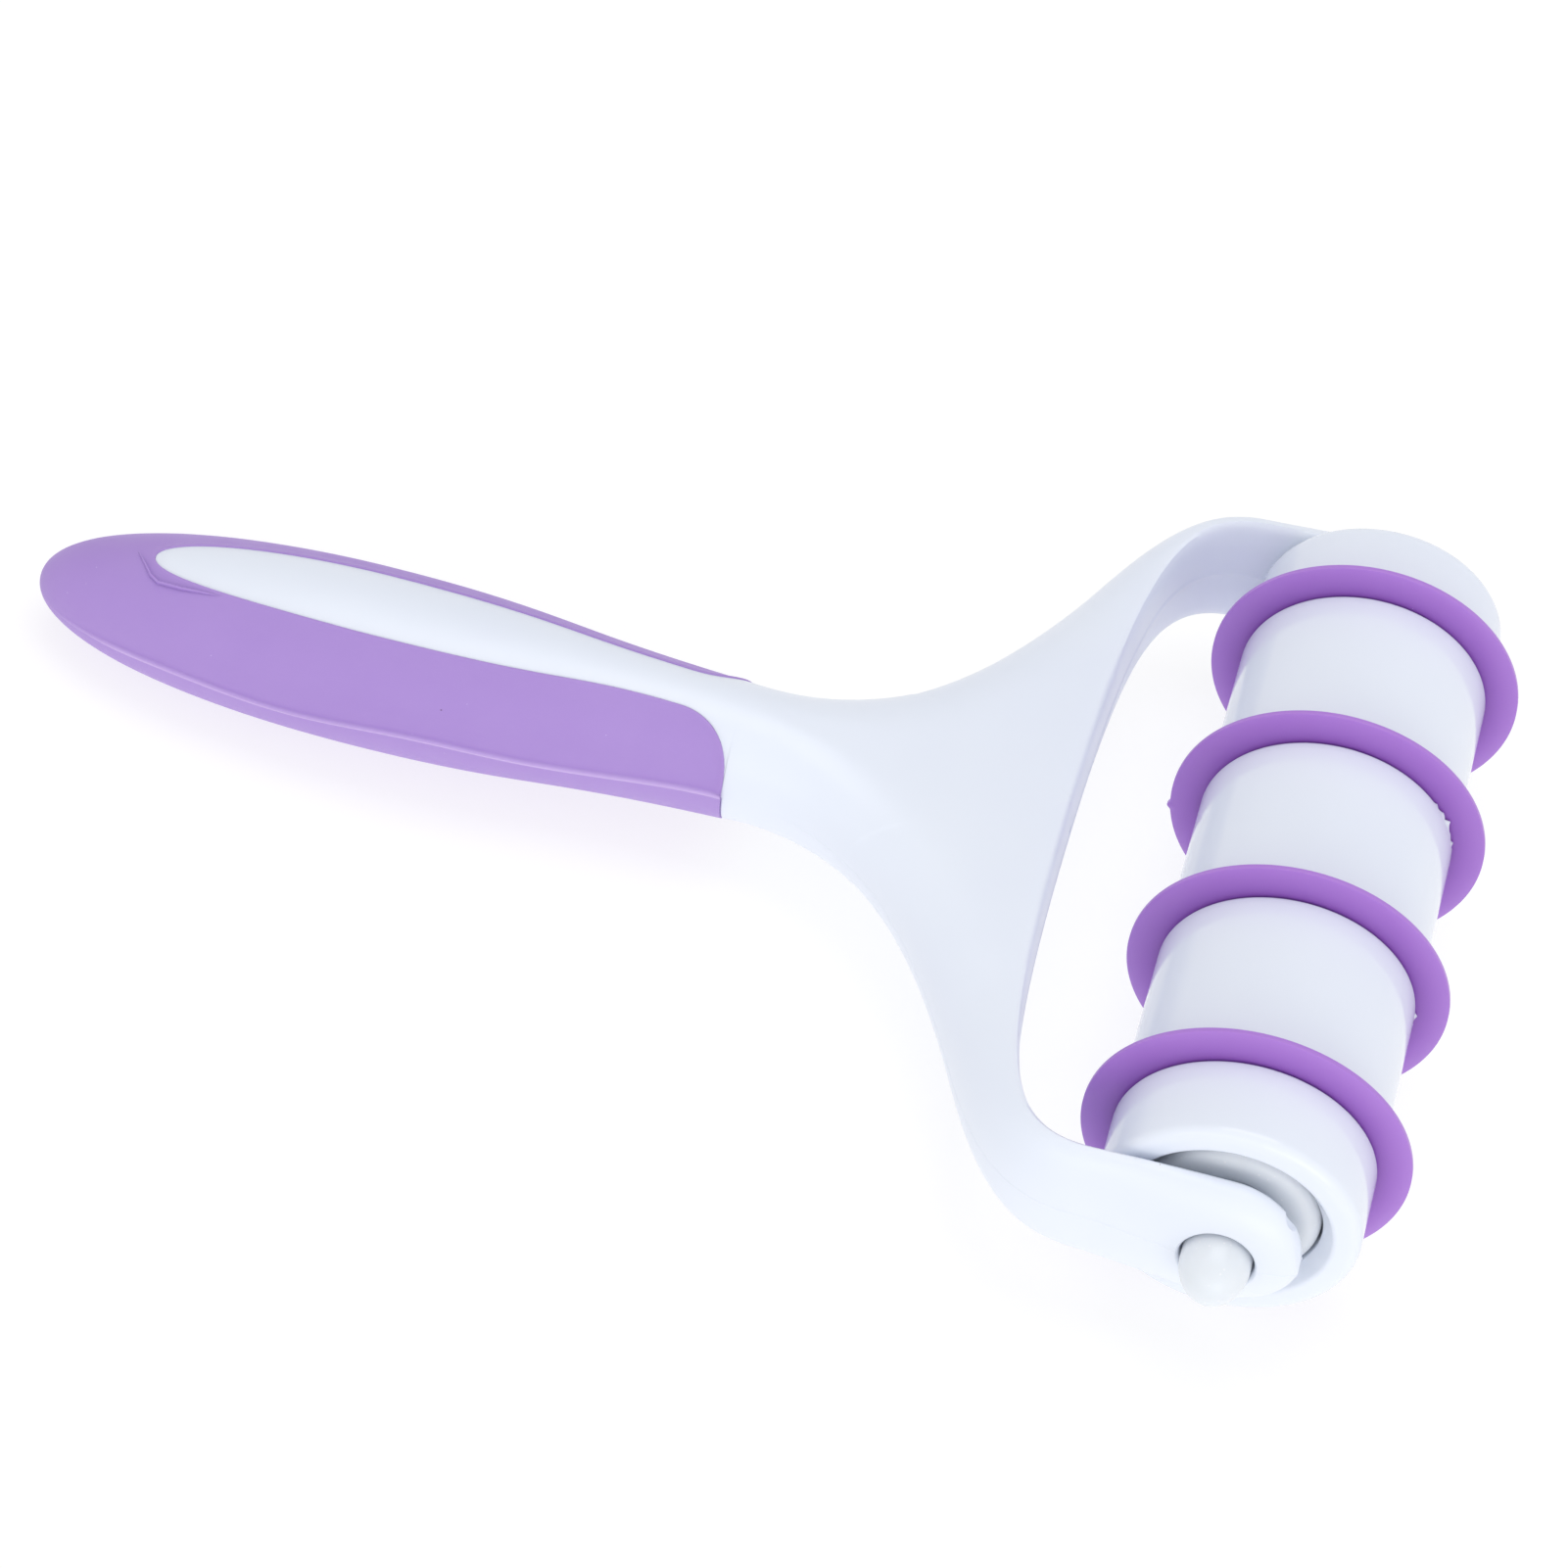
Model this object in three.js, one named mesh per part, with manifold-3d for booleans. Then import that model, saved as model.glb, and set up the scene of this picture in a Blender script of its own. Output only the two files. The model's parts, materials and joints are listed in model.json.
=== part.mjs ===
// Pastry roller cutter: a forked handle that carries a roller of four cutting discs and their spacers.
// Millimetres, +Z up. The tool lies at rest on its discs and on the butt of its handle.
// X runs along the handle towards the roller, and Y runs along the roller's axis.
import * as THREE from 'three';
import { mergeVertices } from 'three/addons/utils/BufferGeometryUtils.js';
import Module from 'manifold-3d';

const wasm = await Module();
wasm.setup();

// Clearances
const STACK_GAP = 0.2; // between neighbours along the roller
const BORE_GAP = 0.3; // radial, of a bore on its shaft
const THRUST_GAP = 0.3; // between an end spacer's rim and the arm that it lies against
const END_PLAY = 0.8; // of the roller between the arms
const MOULD_GAP = 0.3; // between the grip and the frame that it is moulded on
const FLANGE_GAP = 1.8; // radial, of a hub's flange in its recess

// Cutting discs
const DISC_COUNT = 4;
const DISC_PITCH = 25.4;
const DISC_RADIUS = 19.05;
const DISC_THICKNESS = 1.7;
const DISC_EDGE = 0.6;
const DISC_BEVEL = 2.6;

// Spacers between the discs, and the recessed ones at the two ends
const SPACER_RADIUS = 15.25;
const SPACER_WALL = 2.2;
const SPACER_WEB = 2.4;
const SPACER_EDGE = 0.4;
const SLEEVE_WALL = 1.8;
const END_SKIRT = 2.4; // hollow of an end spacer, towards its disc
const END_ROUND = 1.2;
const RIM_WALL = 3.05;
const RECESS_DEPTH = 6;

// Core tube, and the end hubs that plug into it
const CORE_RADIUS = 6.5;
const FLANGE_LENGTH = 2.2;
const FLANGE_ROUND = 0.9;
const TRUNNION_RADIUS = 4;
const TRUNNION_PROUD = 5.2;
const NOSE_LENGTH = 5.2;
const SPIGOT_LENGTH = 14;

// Fork
const ARM_THICKNESS = 4.1;
const ARM_HEIGHT = 18.2;
const ARM_FLARE = 1.5;
const TIP_ROUND = 1.8;
const WEB_THICKNESS = 13;
const WINDOW_DEPTH = 10.2;
const WEB_LENGTH = 39.8;
const WEB_FLAT = 17.2;
const SHOULDER_BACK = 5.2;
const SHOULDER_INSET = 15.2;
const SHOULDER_RUN = 13;
const SHOULDER_ANGLE = 64; // degrees from the handle's line
const CORNER_RUN = 13.5;
const OUTER_ROUND = 5;
const INNER_ROUND = 1.1;
const OUTER_SQUARENESS = 2.2; // 2 rounds an edge as an ellipse, and more is squarer
const INNER_SQUARENESS = 2.5;

// Handle and its soft grip
const NECK_WIDTH = 15.9;
const BELLY_WIDTH = 23.3;
const BELLY_THICKNESS = 20;
const BELLY_RUN = 47;
const BUTT_RUN = 41.8;
const BUTT_DROOP = 0.9;
const GRIP_WALL = 2.2;
const GRIP_SETBACK = 1;
const STRIP_WIDTH = 11.3;
const STRIP_MOUTH = 7;
const STRIP_MARGIN = 13.2;
const STRIP_CORNER = 7;

// How far each curve holds its first and its last direction, as a share of its run
const BUTT_FULLNESS = 0.66;
const BUTT_EASE = 0.52;
const PLAN_PULL = 0.5;
const SIDE_PULL = 0.8;
const NECK_EASE = 0.45;
const FLANK_EASE = 0.42;
const SHOULDER_EASE = 0.72;
const ARM_EASE = 0.7;
const CORNER_FULLNESS = 0.88;
const STRIP_FULLNESS = 0.75;
const MOUTH_EASE = 0.6;
const MOUTH_FULLNESS = 0.36;

// Facets
const DISC_SIDES = 40;
const SPACER_SIDES = 32;
const SHAFT_SIDES = 24;
const EDGE_STEPS = 4;
const ROW_STEPS = 2 * EDGE_STEPS + 1; // two rounded edges and the flat between them
const ROUND_STEPS = 3;
const NOSE_STEPS = 5;
const STRIP_STEPS = 8;
const HANDLE_ROWS = 20;
const WEB_ROWS = 10;
const SHOULDER_ROWS = 14;
const ARM_ROWS = 4;
const TIP_ROWS = 5;
const FLANK_SHARE = 0.34; // of the flank, beside the web's rows
const FLAT_SHARE = 0.75; // of the web's rows, until the section is a flat plate
const LEVEL_SHARE = 0.4; // of the shoulder's rows, until the fork grows taller towards its tips
const WEB_CROWDING = 1.7; // 1 spaces rows evenly, and more crowds them at one end
const BUTT_CROWDING = 1.8;
const UNDERSIDE_POINTS = 200;
const SEARCH_STEPS = 40;
const WELD = 1e-4;
const QUARTER = Math.PI / 2;
const STEEPEST_TILT = QUARTER / 3;

// Finishes
const WHITE = { color: 0xeceff7, roughness: 0.32, metalness: 0 };
const PURPLE_GRIP = { color: 0xb293dc, roughness: 0.62, metalness: 0 };
const PURPLE_DISC = { color: 0xa878d8, roughness: 0.42, metalness: 0 };
const NATURAL = { color: 0xe2e5ee, roughness: 0.4, metalness: 0 };

// Places along the roller, from its middle
const lastDisc = (DISC_COUNT - 1) / 2 * DISC_PITCH;
const endStart = lastDisc + DISC_THICKNESS / 2 + STACK_GAP;
const endWeb = endStart + END_SKIRT;
const recessFloor = endWeb + SPACER_WEB;
const endFace = recessFloor + RECESS_DEPTH;
const flangeStart = recessFloor + STACK_GAP;
const hubFace = flangeStart + FLANGE_LENGTH;
const spacerLength = DISC_PITCH - DISC_THICKNESS - 2 * STACK_GAP;
const shaftBore = CORE_RADIUS + BORE_GAP;
const sleeveRadius = shaftBore + SLEEVE_WALL;
const wallRadius = SPACER_RADIUS - SPACER_WALL;
const recessRadius = SPACER_RADIUS - RIM_WALL;
const flangeRadius = recessRadius - FLANGE_GAP;

// Places across and along the frame, from the roller's axis
const rollerShift = -END_PLAY / 2;
const armInner = endFace + THRUST_GAP + END_PLAY / 2;
const armOuter = armInner + ARM_THICKNESS;
const trunnionTip = armOuter + ARM_FLARE + TRUNNION_PROUD + rollerShift;
const tipRadius = ARM_HEIGHT / 2;
const webHalf = WEB_THICKNESS / 2;
const webX = -(DISC_RADIUS + WINDOW_DEPTH);
const flatX = webX - WEB_FLAT;
const neckX = webX - WEB_LENGTH;
const bellyX = neckX - BELLY_RUN;
const buttX = bellyX - BUTT_RUN;
const gripFrontX = neckX - GRIP_SETBACK;
const beyond = BELLY_WIDTH; // how far a cutting solid reaches past what it cuts

const point = (x, y) => new THREE.Vector2(x, y);

// A curve between two points, with the way it leaves the first and the way it comes to the last
function bend(from, leaving, to, coming) {
  return new THREE.CubicBezierCurve(from, from.clone().add(leaving), to.clone().sub(coming), to);
}

function joined(...curves) {
  const path = new THREE.CurvePath();
  curves.forEach((curve) => path.add(curve));
  return path;
}

// The height, at one X, of a curve that runs steadily along X
function heightAt(curve, x) {
  let low = 0;
  let high = 1;
  for (let step = 0; step < SEARCH_STEPS; step += 1) {
    const middle = (low + high) / 2;
    if (curve.getPoint(middle).x < x) low = middle;
    else high = middle;
  }
  return curve.getPoint(low).y;
}

// Half the handle's outline: a blunt butt, then a long curve from the belly to a narrower place
function handleOutline(bellyHalf, endX, endHalf, pull, inset) {
  const butt = point(buttX + inset, 0);
  const belly = point(bellyX, bellyHalf - inset);
  const end = point(endX, endHalf - inset);
  const run = endX - bellyX;
  return joined(
    bend(butt, point(0, belly.y * BUTT_FULLNESS), belly, point(BUTT_RUN * BUTT_EASE, 0)),
    bend(belly, point(run * pull, 0), end, point(run * (1 - pull), 0)),
  );
}

function planOutline(inset) {
  return handleOutline(BELLY_WIDTH / 2, neckX, NECK_WIDTH / 2, PLAN_PULL, inset);
}

function sideOutline(inset) {
  return handleOutline(BELLY_THICKNESS / 2, flatX, webHalf, SIDE_PULL, inset);
}

const frameSide = sideOutline(0);

// The fork's outer edge in plan, from the neck over the shoulder to the arm
const neckEdge = point(neckX, NECK_WIDTH / 2);
const shoulder = point(webX - SHOULDER_BACK, armOuter - SHOULDER_INSET);
const shoulderTurn = THREE.MathUtils.degToRad(SHOULDER_ANGLE);
const shoulderAim = point(Math.cos(shoulderTurn), Math.sin(shoulderTurn));
const armStart = point(webX + SHOULDER_RUN, armOuter);
const flankCurve = bend(
  neckEdge,
  point(WEB_LENGTH * NECK_EASE, 0),
  shoulder,
  shoulderAim.clone().multiplyScalar(WEB_LENGTH * FLANK_EASE),
);
const shoulderCurve = bend(
  shoulder,
  shoulderAim.clone().multiplyScalar(SHOULDER_INSET * SHOULDER_EASE),
  armStart,
  point(SHOULDER_RUN * ARM_EASE, 0),
);
const outerCurve = joined(flankCurve, shoulderCurve);

// The fork's inner edge in plan, from the middle of the web round the corner to the arm
const cornerEnd = point(webX + CORNER_RUN, armInner);
const innerCurve = bend(
  point(webX, 0),
  point(0, armInner * CORNER_FULLNESS),
  cornerEnd,
  point(CORNER_RUN * ARM_EASE, 0),
);

// Stations of the fork: an outer and an inner point, and half the height there
function forkStations() {
  const flankShare = FLANK_SHARE * flankCurve.getLength() / outerCurve.getLength();
  const stations = [];
  for (let row = 1; row <= WEB_ROWS; row += 1) {
    const share = row / WEB_ROWS;
    const inner = point(neckX + WEB_LENGTH * (1 - (1 - share) ** WEB_CROWDING), 0);
    const half = heightAt(frameSide, Math.min(inner.x, flatX));
    stations.push({ outer: outerCurve.getPoint(flankShare * share), inner, half });
  }
  const levelRows = SHOULDER_ROWS * LEVEL_SHARE;
  const tipRow = SHOULDER_ROWS + ARM_ROWS;
  const halfAt = (row) => THREE.MathUtils.lerp(
    webHalf,
    tipRadius,
    THREE.MathUtils.smoothstep(row, levelRows, tipRow),
  );
  for (let row = 1; row <= SHOULDER_ROWS; row += 1) {
    const share = row / SHOULDER_ROWS;
    const outer = outerCurve.getPoint(flankShare + (1 - flankShare) * share);
    stations.push({ outer, inner: innerCurve.getPointAt(share), half: halfAt(row) });
  }
  for (let row = 1; row <= ARM_ROWS; row += 1) {
    const share = row / ARM_ROWS;
    const flare = ARM_FLARE * THREE.MathUtils.smoothstep(share, 0, 1);
    const outer = point(armStart.x * (1 - share), armOuter + flare);
    const inner = point(cornerEnd.x * (1 - share), armInner);
    stations.push({ outer, inner, half: halfAt(SHOULDER_ROWS + row) });
  }
  for (let row = 1; row <= TIP_ROWS; row += 1) {
    const angle = row / TIP_ROWS * QUARTER;
    const x = tipRadius * Math.sin(angle);
    const inset = TIP_ROUND * (1 - Math.cos(angle));
    const half = row < TIP_ROWS ? tipRadius * Math.cos(angle) : 0;
    const outer = point(x, armOuter + ARM_FLARE - inset);
    stations.push({ outer, inner: point(x, armInner + inset), half });
  }
  return stations;
}

// The height of a rounded edge, from 0 to 1, at a share of its width
function edgeRise(share, squareness) {
  const left = 1 - Math.min(share, 1);
  return (1 - left ** squareness) ** (1 / squareness);
}

// How far in from an edge each step of its rounding lies
function edgeSteps(width, squareness) {
  const reaches = [];
  for (let step = 0; step <= EDGE_STEPS; step += 1) {
    const angle = step / EDGE_STEPS * QUARTER;
    reaches.push(width * (1 - Math.cos(angle) ** (2 / squareness)));
  }
  return reaches;
}

function distanceToPath(spot, path) {
  let nearest = Infinity;
  for (let mark = 1; mark < path.length; mark += 1) {
    const along = path[mark].clone().sub(path[mark - 1]);
    const share = spot.clone().sub(path[mark - 1]).dot(along) / along.lengthSq();
    const foot = path[mark - 1].clone().addScaledVector(along, THREE.MathUtils.clamp(share, 0, 1));
    nearest = Math.min(nearest, foot.distanceTo(spot));
  }
  return nearest;
}

// A row of points over the upper half of a section, from its outer edge to its middle or inner edge
function ellipseRow({ outer, inner, half }) {
  const row = [];
  for (let step = 0; step <= ROW_STEPS; step += 1) {
    const angle = step / ROW_STEPS * QUARTER;
    const spot = outer.clone().lerp(inner, 1 - Math.cos(angle));
    row.push(new THREE.Vector3(spot.x, spot.y, half * Math.sin(angle)));
  }
  row[ROW_STEPS].set(inner.x, inner.y, half);
  return row;
}

function plateRow({ outer, inner, half }, innerEdge) {
  const width = outer.distanceTo(inner);
  const slant = INNER_ROUND / distanceToPath(inner.clone().lerp(outer, INNER_ROUND / width), innerEdge);
  const innerReach = INNER_ROUND * Math.max(slant, 1);
  const outerRound = Math.min(OUTER_ROUND, width - innerReach);
  const outerSteps = edgeSteps(outerRound, OUTER_SQUARENESS);
  const innerSteps = edgeSteps(innerReach, INNER_SQUARENESS).reverse();
  return [...outerSteps, ...innerSteps.map((reach) => width - reach)].map((reach) => {
    const spot = outer.clone().lerp(inner, reach / width);
    const outerRise = edgeRise(reach / outerRound, OUTER_SQUARENESS);
    const innerRise = edgeRise(distanceToPath(spot, innerEdge) / INNER_ROUND, INNER_SQUARENESS);
    return new THREE.Vector3(spot.x, spot.y, half * outerRise * innerRise);
  });
}

function handleRows(inset, lastX) {
  const plan = planOutline(inset);
  const side = sideOutline(inset);
  const startX = buttX + inset;
  const rows = [];
  for (let row = 0; row <= HANDLE_ROWS; row += 1) {
    const x = startX + (lastX - startX) * (row / HANDLE_ROWS) ** BUTT_CROWDING;
    const outer = point(x, row > 0 ? heightAt(plan, x) : 0);
    rows.push(ellipseRow({ outer, inner: point(x, 0), half: row > 0 ? heightAt(side, x) : 0 }));
  }
  return rows;
}

function forkRows() {
  const stations = forkStations();
  const innerEdge = stations.slice(WEB_ROWS - 1).map((station) => station.inner);
  return stations.map((station, index) => {
    const flatness = THREE.MathUtils.smoothstep(index + 1, 0, WEB_ROWS * FLAT_SHARE);
    const plate = plateRow(station, innerEdge);
    if (flatness === 1) return plate;
    return ellipseRow(station).map((spot, step) => spot.lerp(plate[step], flatness));
  });
}

// How far the handle's middle line drops towards the butt
function droopAt(x) {
  const share = Math.max(bellyX + BELLY_RUN / 2 - x, 0) / (BUTT_RUN + BELLY_RUN / 2);
  return BUTT_DROOP * share ** 2;
}

// A closed surface from rows over one quarter, mirrored to the other side and to the underside
function mirroredSkin(rows) {
  const corners = [];
  for (const side of [1, -1]) {
    for (const face of [1, -1]) {
      const place = (spot) => [spot.x, spot.y * side, spot.z * face - droopAt(spot.x)];
      for (let row = 1; row < rows.length; row += 1) {
        for (let step = 1; step < rows[row].length; step += 1) {
          const [a, b] = [rows[row - 1][step - 1], rows[row - 1][step]].map(place);
          const [d, c] = [rows[row][step - 1], rows[row][step]].map(place);
          corners.push(...(side === face ? [a, b, c, a, c, d] : [c, b, a, d, c, a]));
        }
      }
    }
  }
  const geometry = new THREE.BufferGeometry();
  geometry.setAttribute('position', new THREE.Float32BufferAttribute(corners.flat(), 3));
  return geometry;
}

// A solid that can be joined and cut, from a closed surface
function solidOf(geometry) {
  const bare = geometry.clone();
  bare.deleteAttribute('normal');
  bare.deleteAttribute('uv');
  const welded = mergeVertices(bare, WELD);
  const index = welded.index.array;
  const triVerts = [];
  for (let corner = 0; corner < index.length; corner += 3) {
    const [a, b, c] = index.slice(corner, corner + 3);
    if (a !== b && b !== c && c !== a) triVerts.push(a, b, c);
  }
  return new wasm.Manifold(new wasm.Mesh({
    numProp: 3,
    vertProperties: welded.attributes.position.array,
    triVerts: Uint32Array.from(triVerts),
  }));
}

function geometryOf(solid) {
  const mesh = solid.getMesh();
  const geometry = new THREE.BufferGeometry();
  geometry.setAttribute('position', new THREE.BufferAttribute(mesh.vertProperties, 3));
  geometry.setIndex(new THREE.BufferAttribute(mesh.triVerts, 1));
  geometry.computeVertexNormals();
  return geometry;
}

// The handle's core inside the grip, closed by a flat end in the neck
function coreSolid(inset) {
  const rows = handleRows(inset, neckX);
  const closed = rows[HANDLE_ROWS].map(() => new THREE.Vector3(neckX, 0, 0));
  return solidOf(mirroredSkin([...rows, closed]));
}

// The opening in the grip's upper side that shows the frame: a strip that widens at its mouth
function stripSolid(inset) {
  const start = point(buttX + STRIP_MARGIN + inset, 0);
  const belly = point(bellyX, STRIP_WIDTH / 2 - inset);
  const mouth = point(gripFrontX - STRIP_CORNER, STRIP_MOUTH / 2 - inset);
  const corner = point(gripFrontX + inset, NECK_WIDTH / 2 + inset);
  const run = mouth.x - belly.x;
  const widening = corner.y - mouth.y;
  const edge = joined(
    bend(start, point(0, belly.y * STRIP_FULLNESS), belly, point((belly.x - start.x) * BUTT_EASE, 0)),
    bend(belly, point(run * PLAN_PULL, 0), mouth, point(run * (1 - PLAN_PULL), 0)),
    bend(mouth, point(STRIP_CORNER * MOUTH_EASE, 0), corner, point(0, widening * MOUTH_FULLNESS)),
  ).getPoints(STRIP_STEPS);
  const outside = corner.y + beyond;
  const left = [...edge, point(corner.x, outside), point(corner.x + beyond, outside)];
  const right = left.slice(1).reverse().map((spot) => point(spot.x, -spot.y));
  const shape = new THREE.Shape([...left, ...right]);
  return solidOf(new THREE.ExtrudeGeometry(shape, { depth: BELLY_THICKNESS, bevelEnabled: false }));
}

// Everything behind a plane square to the handle
function slabSolid(frontX) {
  const length = frontX - buttX + beyond;
  const slab = new THREE.BoxGeometry(length, BELLY_WIDTH + beyond, BELLY_THICKNESS + beyond);
  return solidOf(slab.translate(frontX - length / 2, 0, 0));
}

function gripRoom(wall, gap) {
  return slabSolid(gripFrontX + gap).subtract(coreSolid(wall + gap)).subtract(stripSolid(gap));
}

const body = solidOf(mirroredSkin([...handleRows(0, neckX), ...forkRows()]));
const armBore = new THREE.CylinderGeometry(
  TRUNNION_RADIUS + BORE_GAP,
  TRUNNION_RADIUS + BORE_GAP,
  2 * (armOuter + beyond),
  SHAFT_SIDES,
);
const bareFrame = body.subtract(gripRoom(GRIP_WALL, MOULD_GAP));
const frameGeometry = geometryOf(bareFrame.subtract(solidOf(armBore)));
const gripGeometry = geometryOf(body.intersect(gripRoom(GRIP_WALL, 0)));

// A ring or a shaft turned about the roller's axis, from radius and place along the axis
function turned(profile, sides) {
  return new THREE.LatheGeometry(profile.map(([radius, y]) => point(radius, y)), sides);
}

function turnedRing(profile, sides) {
  return turned([...profile, profile[0]], sides);
}

// Points of a quarter round edge between two corners, bulging away from a centre
function roundEdge([centreR, centreY], radius, startAngle, endAngle) {
  const points = [];
  for (let step = 0; step <= ROUND_STEPS; step += 1) {
    const angle = startAngle + (endAngle - startAngle) * step / ROUND_STEPS;
    points.push([centreR + radius * Math.cos(angle), centreY + radius * Math.sin(angle)]);
  }
  return points;
}

function discGeometry() {
  const half = DISC_THICKNESS / 2;
  const bevelStart = DISC_RADIUS - DISC_BEVEL;
  return turnedRing([
    [shaftBore, -half],
    [bevelStart, -half],
    [DISC_RADIUS, -DISC_EDGE / 2],
    [DISC_RADIUS, DISC_EDGE / 2],
    [bevelStart, half],
    [shaftBore, half],
  ], DISC_SIDES);
}

function spacerGeometry() {
  const half = spacerLength / 2;
  const web = SPACER_WEB / 2;
  return turnedRing([
    [shaftBore, -half],
    [sleeveRadius, -half],
    [sleeveRadius, -web],
    [wallRadius, -web],
    [wallRadius, -half],
    [SPACER_RADIUS - SPACER_EDGE, -half],
    [SPACER_RADIUS, SPACER_EDGE - half],
    [SPACER_RADIUS, half - SPACER_EDGE],
    [SPACER_RADIUS - SPACER_EDGE, half],
    [wallRadius, half],
    [wallRadius, web],
    [sleeveRadius, web],
    [sleeveRadius, half],
    [shaftBore, half],
  ], SPACER_SIDES);
}

function endSpacerGeometry() {
  return turnedRing([
    [shaftBore, endStart],
    [sleeveRadius, endStart],
    [sleeveRadius, endWeb],
    [wallRadius, endWeb],
    [wallRadius, endStart],
    [SPACER_RADIUS - SPACER_EDGE, endStart],
    [SPACER_RADIUS, endStart + SPACER_EDGE],
    ...roundEdge([SPACER_RADIUS - END_ROUND, endFace - END_ROUND], END_ROUND, 0, QUARTER),
    [recessRadius + SPACER_EDGE, endFace],
    [recessRadius, endFace - SPACER_EDGE],
    [recessRadius, recessFloor],
    [shaftBore, recessFloor],
  ], SPACER_SIDES);
}

function coreGeometry() {
  const half = recessFloor;
  const bore = TRUNNION_RADIUS + BORE_GAP;
  const profile = [[bore, -half], [CORE_RADIUS, -half], [CORE_RADIUS, half], [bore, half]];
  return turnedRing(profile, SHAFT_SIDES);
}

// An end hub: a spigot in the core, a flange in the recess and a round-nosed trunnion through the arm
function hubGeometry() {
  const profile = [
    [0, flangeStart - SPIGOT_LENGTH],
    [TRUNNION_RADIUS, flangeStart - SPIGOT_LENGTH],
    [TRUNNION_RADIUS, flangeStart],
    [flangeRadius, flangeStart],
    ...roundEdge([flangeRadius - FLANGE_ROUND, hubFace - FLANGE_ROUND], FLANGE_ROUND, 0, QUARTER),
    [TRUNNION_RADIUS, hubFace],
  ];
  for (let step = 0; step < NOSE_STEPS; step += 1) {
    const angle = step / NOSE_STEPS * QUARTER;
    profile.push([TRUNNION_RADIUS * Math.cos(angle), trunnionTip - NOSE_LENGTH * (1 - Math.sin(angle))]);
  }
  profile.push([0, trunnionTip]);
  return turned(profile, SHAFT_SIDES);
}

function piece(name, geometry, finish) {
  const mesh = new THREE.Mesh(geometry, new THREE.MeshStandardMaterial(finish));
  mesh.name = name;
  return mesh;
}

function placedAt(mesh, y) {
  mesh.position.y = y;
  return mesh;
}

function turnedTo(mesh, angle) {
  mesh.rotation.z = angle;
  return mesh;
}

const roller = new THREE.Group();
roller.position.y = rollerShift;
roller.add(piece('roller_core', coreGeometry(), NATURAL));
for (let disc = 0; disc < DISC_COUNT; disc += 1) {
  const y = disc * DISC_PITCH - lastDisc;
  roller.add(placedAt(piece(`cutting_disc_${disc + 1}`, discGeometry(), PURPLE_DISC), y));
  if (disc > 0) {
    const between = y - DISC_PITCH / 2;
    roller.add(placedAt(piece(`spacer_${disc}`, spacerGeometry(), WHITE), between));
  }
}
for (const [end, angle] of [['near', Math.PI], ['far', 0]]) {
  roller.add(turnedTo(piece(`end_spacer_${end}`, endSpacerGeometry(), WHITE), angle));
  roller.add(turnedTo(piece(`end_hub_${end}`, hubGeometry(), NATURAL), angle));
}

const tool = new THREE.Group();
tool.add(piece('handle_frame', frameGeometry, WHITE));
tool.add(piece('handle_grip', gripGeometry, PURPLE_GRIP));
tool.add(roller);

// The tilt at which the tool lies on its discs and on the underside of its handle
function restTilt() {
  const underside = frameSide.getPoints(UNDERSIDE_POINTS);
  let low = 0;
  let high = STEEPEST_TILT;
  for (let step = 0; step < SEARCH_STEPS; step += 1) {
    const tilt = (low + high) / 2;
    const heights = underside.map((spot) => (
      spot.x * Math.sin(tilt) - (spot.y + droopAt(spot.x)) * Math.cos(tilt)
    ));
    if (Math.min(...heights) > -DISC_RADIUS) low = tilt;
    else high = tilt;
  }
  return low;
}

tool.rotation.y = -restTilt();
const cutter = new THREE.Group();
cutter.add(tool);
cutter.updateMatrixWorld(true);
const extent = new THREE.Box3().setFromObject(cutter, true);
const middle = extent.getCenter(new THREE.Vector3());
tool.position.set(-middle.x, -middle.y, -extent.min.z);

export default cutter;
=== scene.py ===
# Pastry roller cutter: the looks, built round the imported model.
# Lengths are millimetres in the tool's own frame until to_row turns them into metres in the row frame.
# In the tool's frame X runs along the handle to the roller, Y along the roller's axis, Z up from the web.
import json
import math

import bmesh
import bpy
import numpy as np
from mathutils import Matrix, Vector


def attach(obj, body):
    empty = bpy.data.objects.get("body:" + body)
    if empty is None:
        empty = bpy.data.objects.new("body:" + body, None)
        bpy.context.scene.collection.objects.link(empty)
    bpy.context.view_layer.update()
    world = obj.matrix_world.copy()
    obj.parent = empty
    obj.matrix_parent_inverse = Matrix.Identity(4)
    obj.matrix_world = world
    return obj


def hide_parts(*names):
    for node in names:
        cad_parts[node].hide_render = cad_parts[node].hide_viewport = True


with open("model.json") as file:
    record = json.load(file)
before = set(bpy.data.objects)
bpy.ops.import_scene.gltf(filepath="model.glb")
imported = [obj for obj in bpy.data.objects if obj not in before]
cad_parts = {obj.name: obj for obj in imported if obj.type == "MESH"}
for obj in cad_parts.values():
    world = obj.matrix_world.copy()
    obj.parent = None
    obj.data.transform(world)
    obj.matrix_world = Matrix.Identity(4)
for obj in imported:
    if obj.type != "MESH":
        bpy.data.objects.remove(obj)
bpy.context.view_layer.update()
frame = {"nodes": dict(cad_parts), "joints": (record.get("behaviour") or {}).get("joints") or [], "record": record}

MM = 0.001
QUARTER = math.pi / 2
TINY = 1e-6
LEAST_HALF = 1e-3

# Fits
STACK_GAP = 0.2
BORE_GAP = 0.3
THRUST_GAP = 0.3
END_PLAY = 0.8
FLANGE_GAP = 1.8
SEAM_GAP = 0.03

# Cutting discs
DISC_COUNT = 4
DISC_PITCH = 25.4
DISC_RADIUS = 19.05
DISC_THICKNESS = 1.7
DISC_EDGE = 0.6
DISC_BEVEL = 2.9
RIM_ROUND = 0.12

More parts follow.
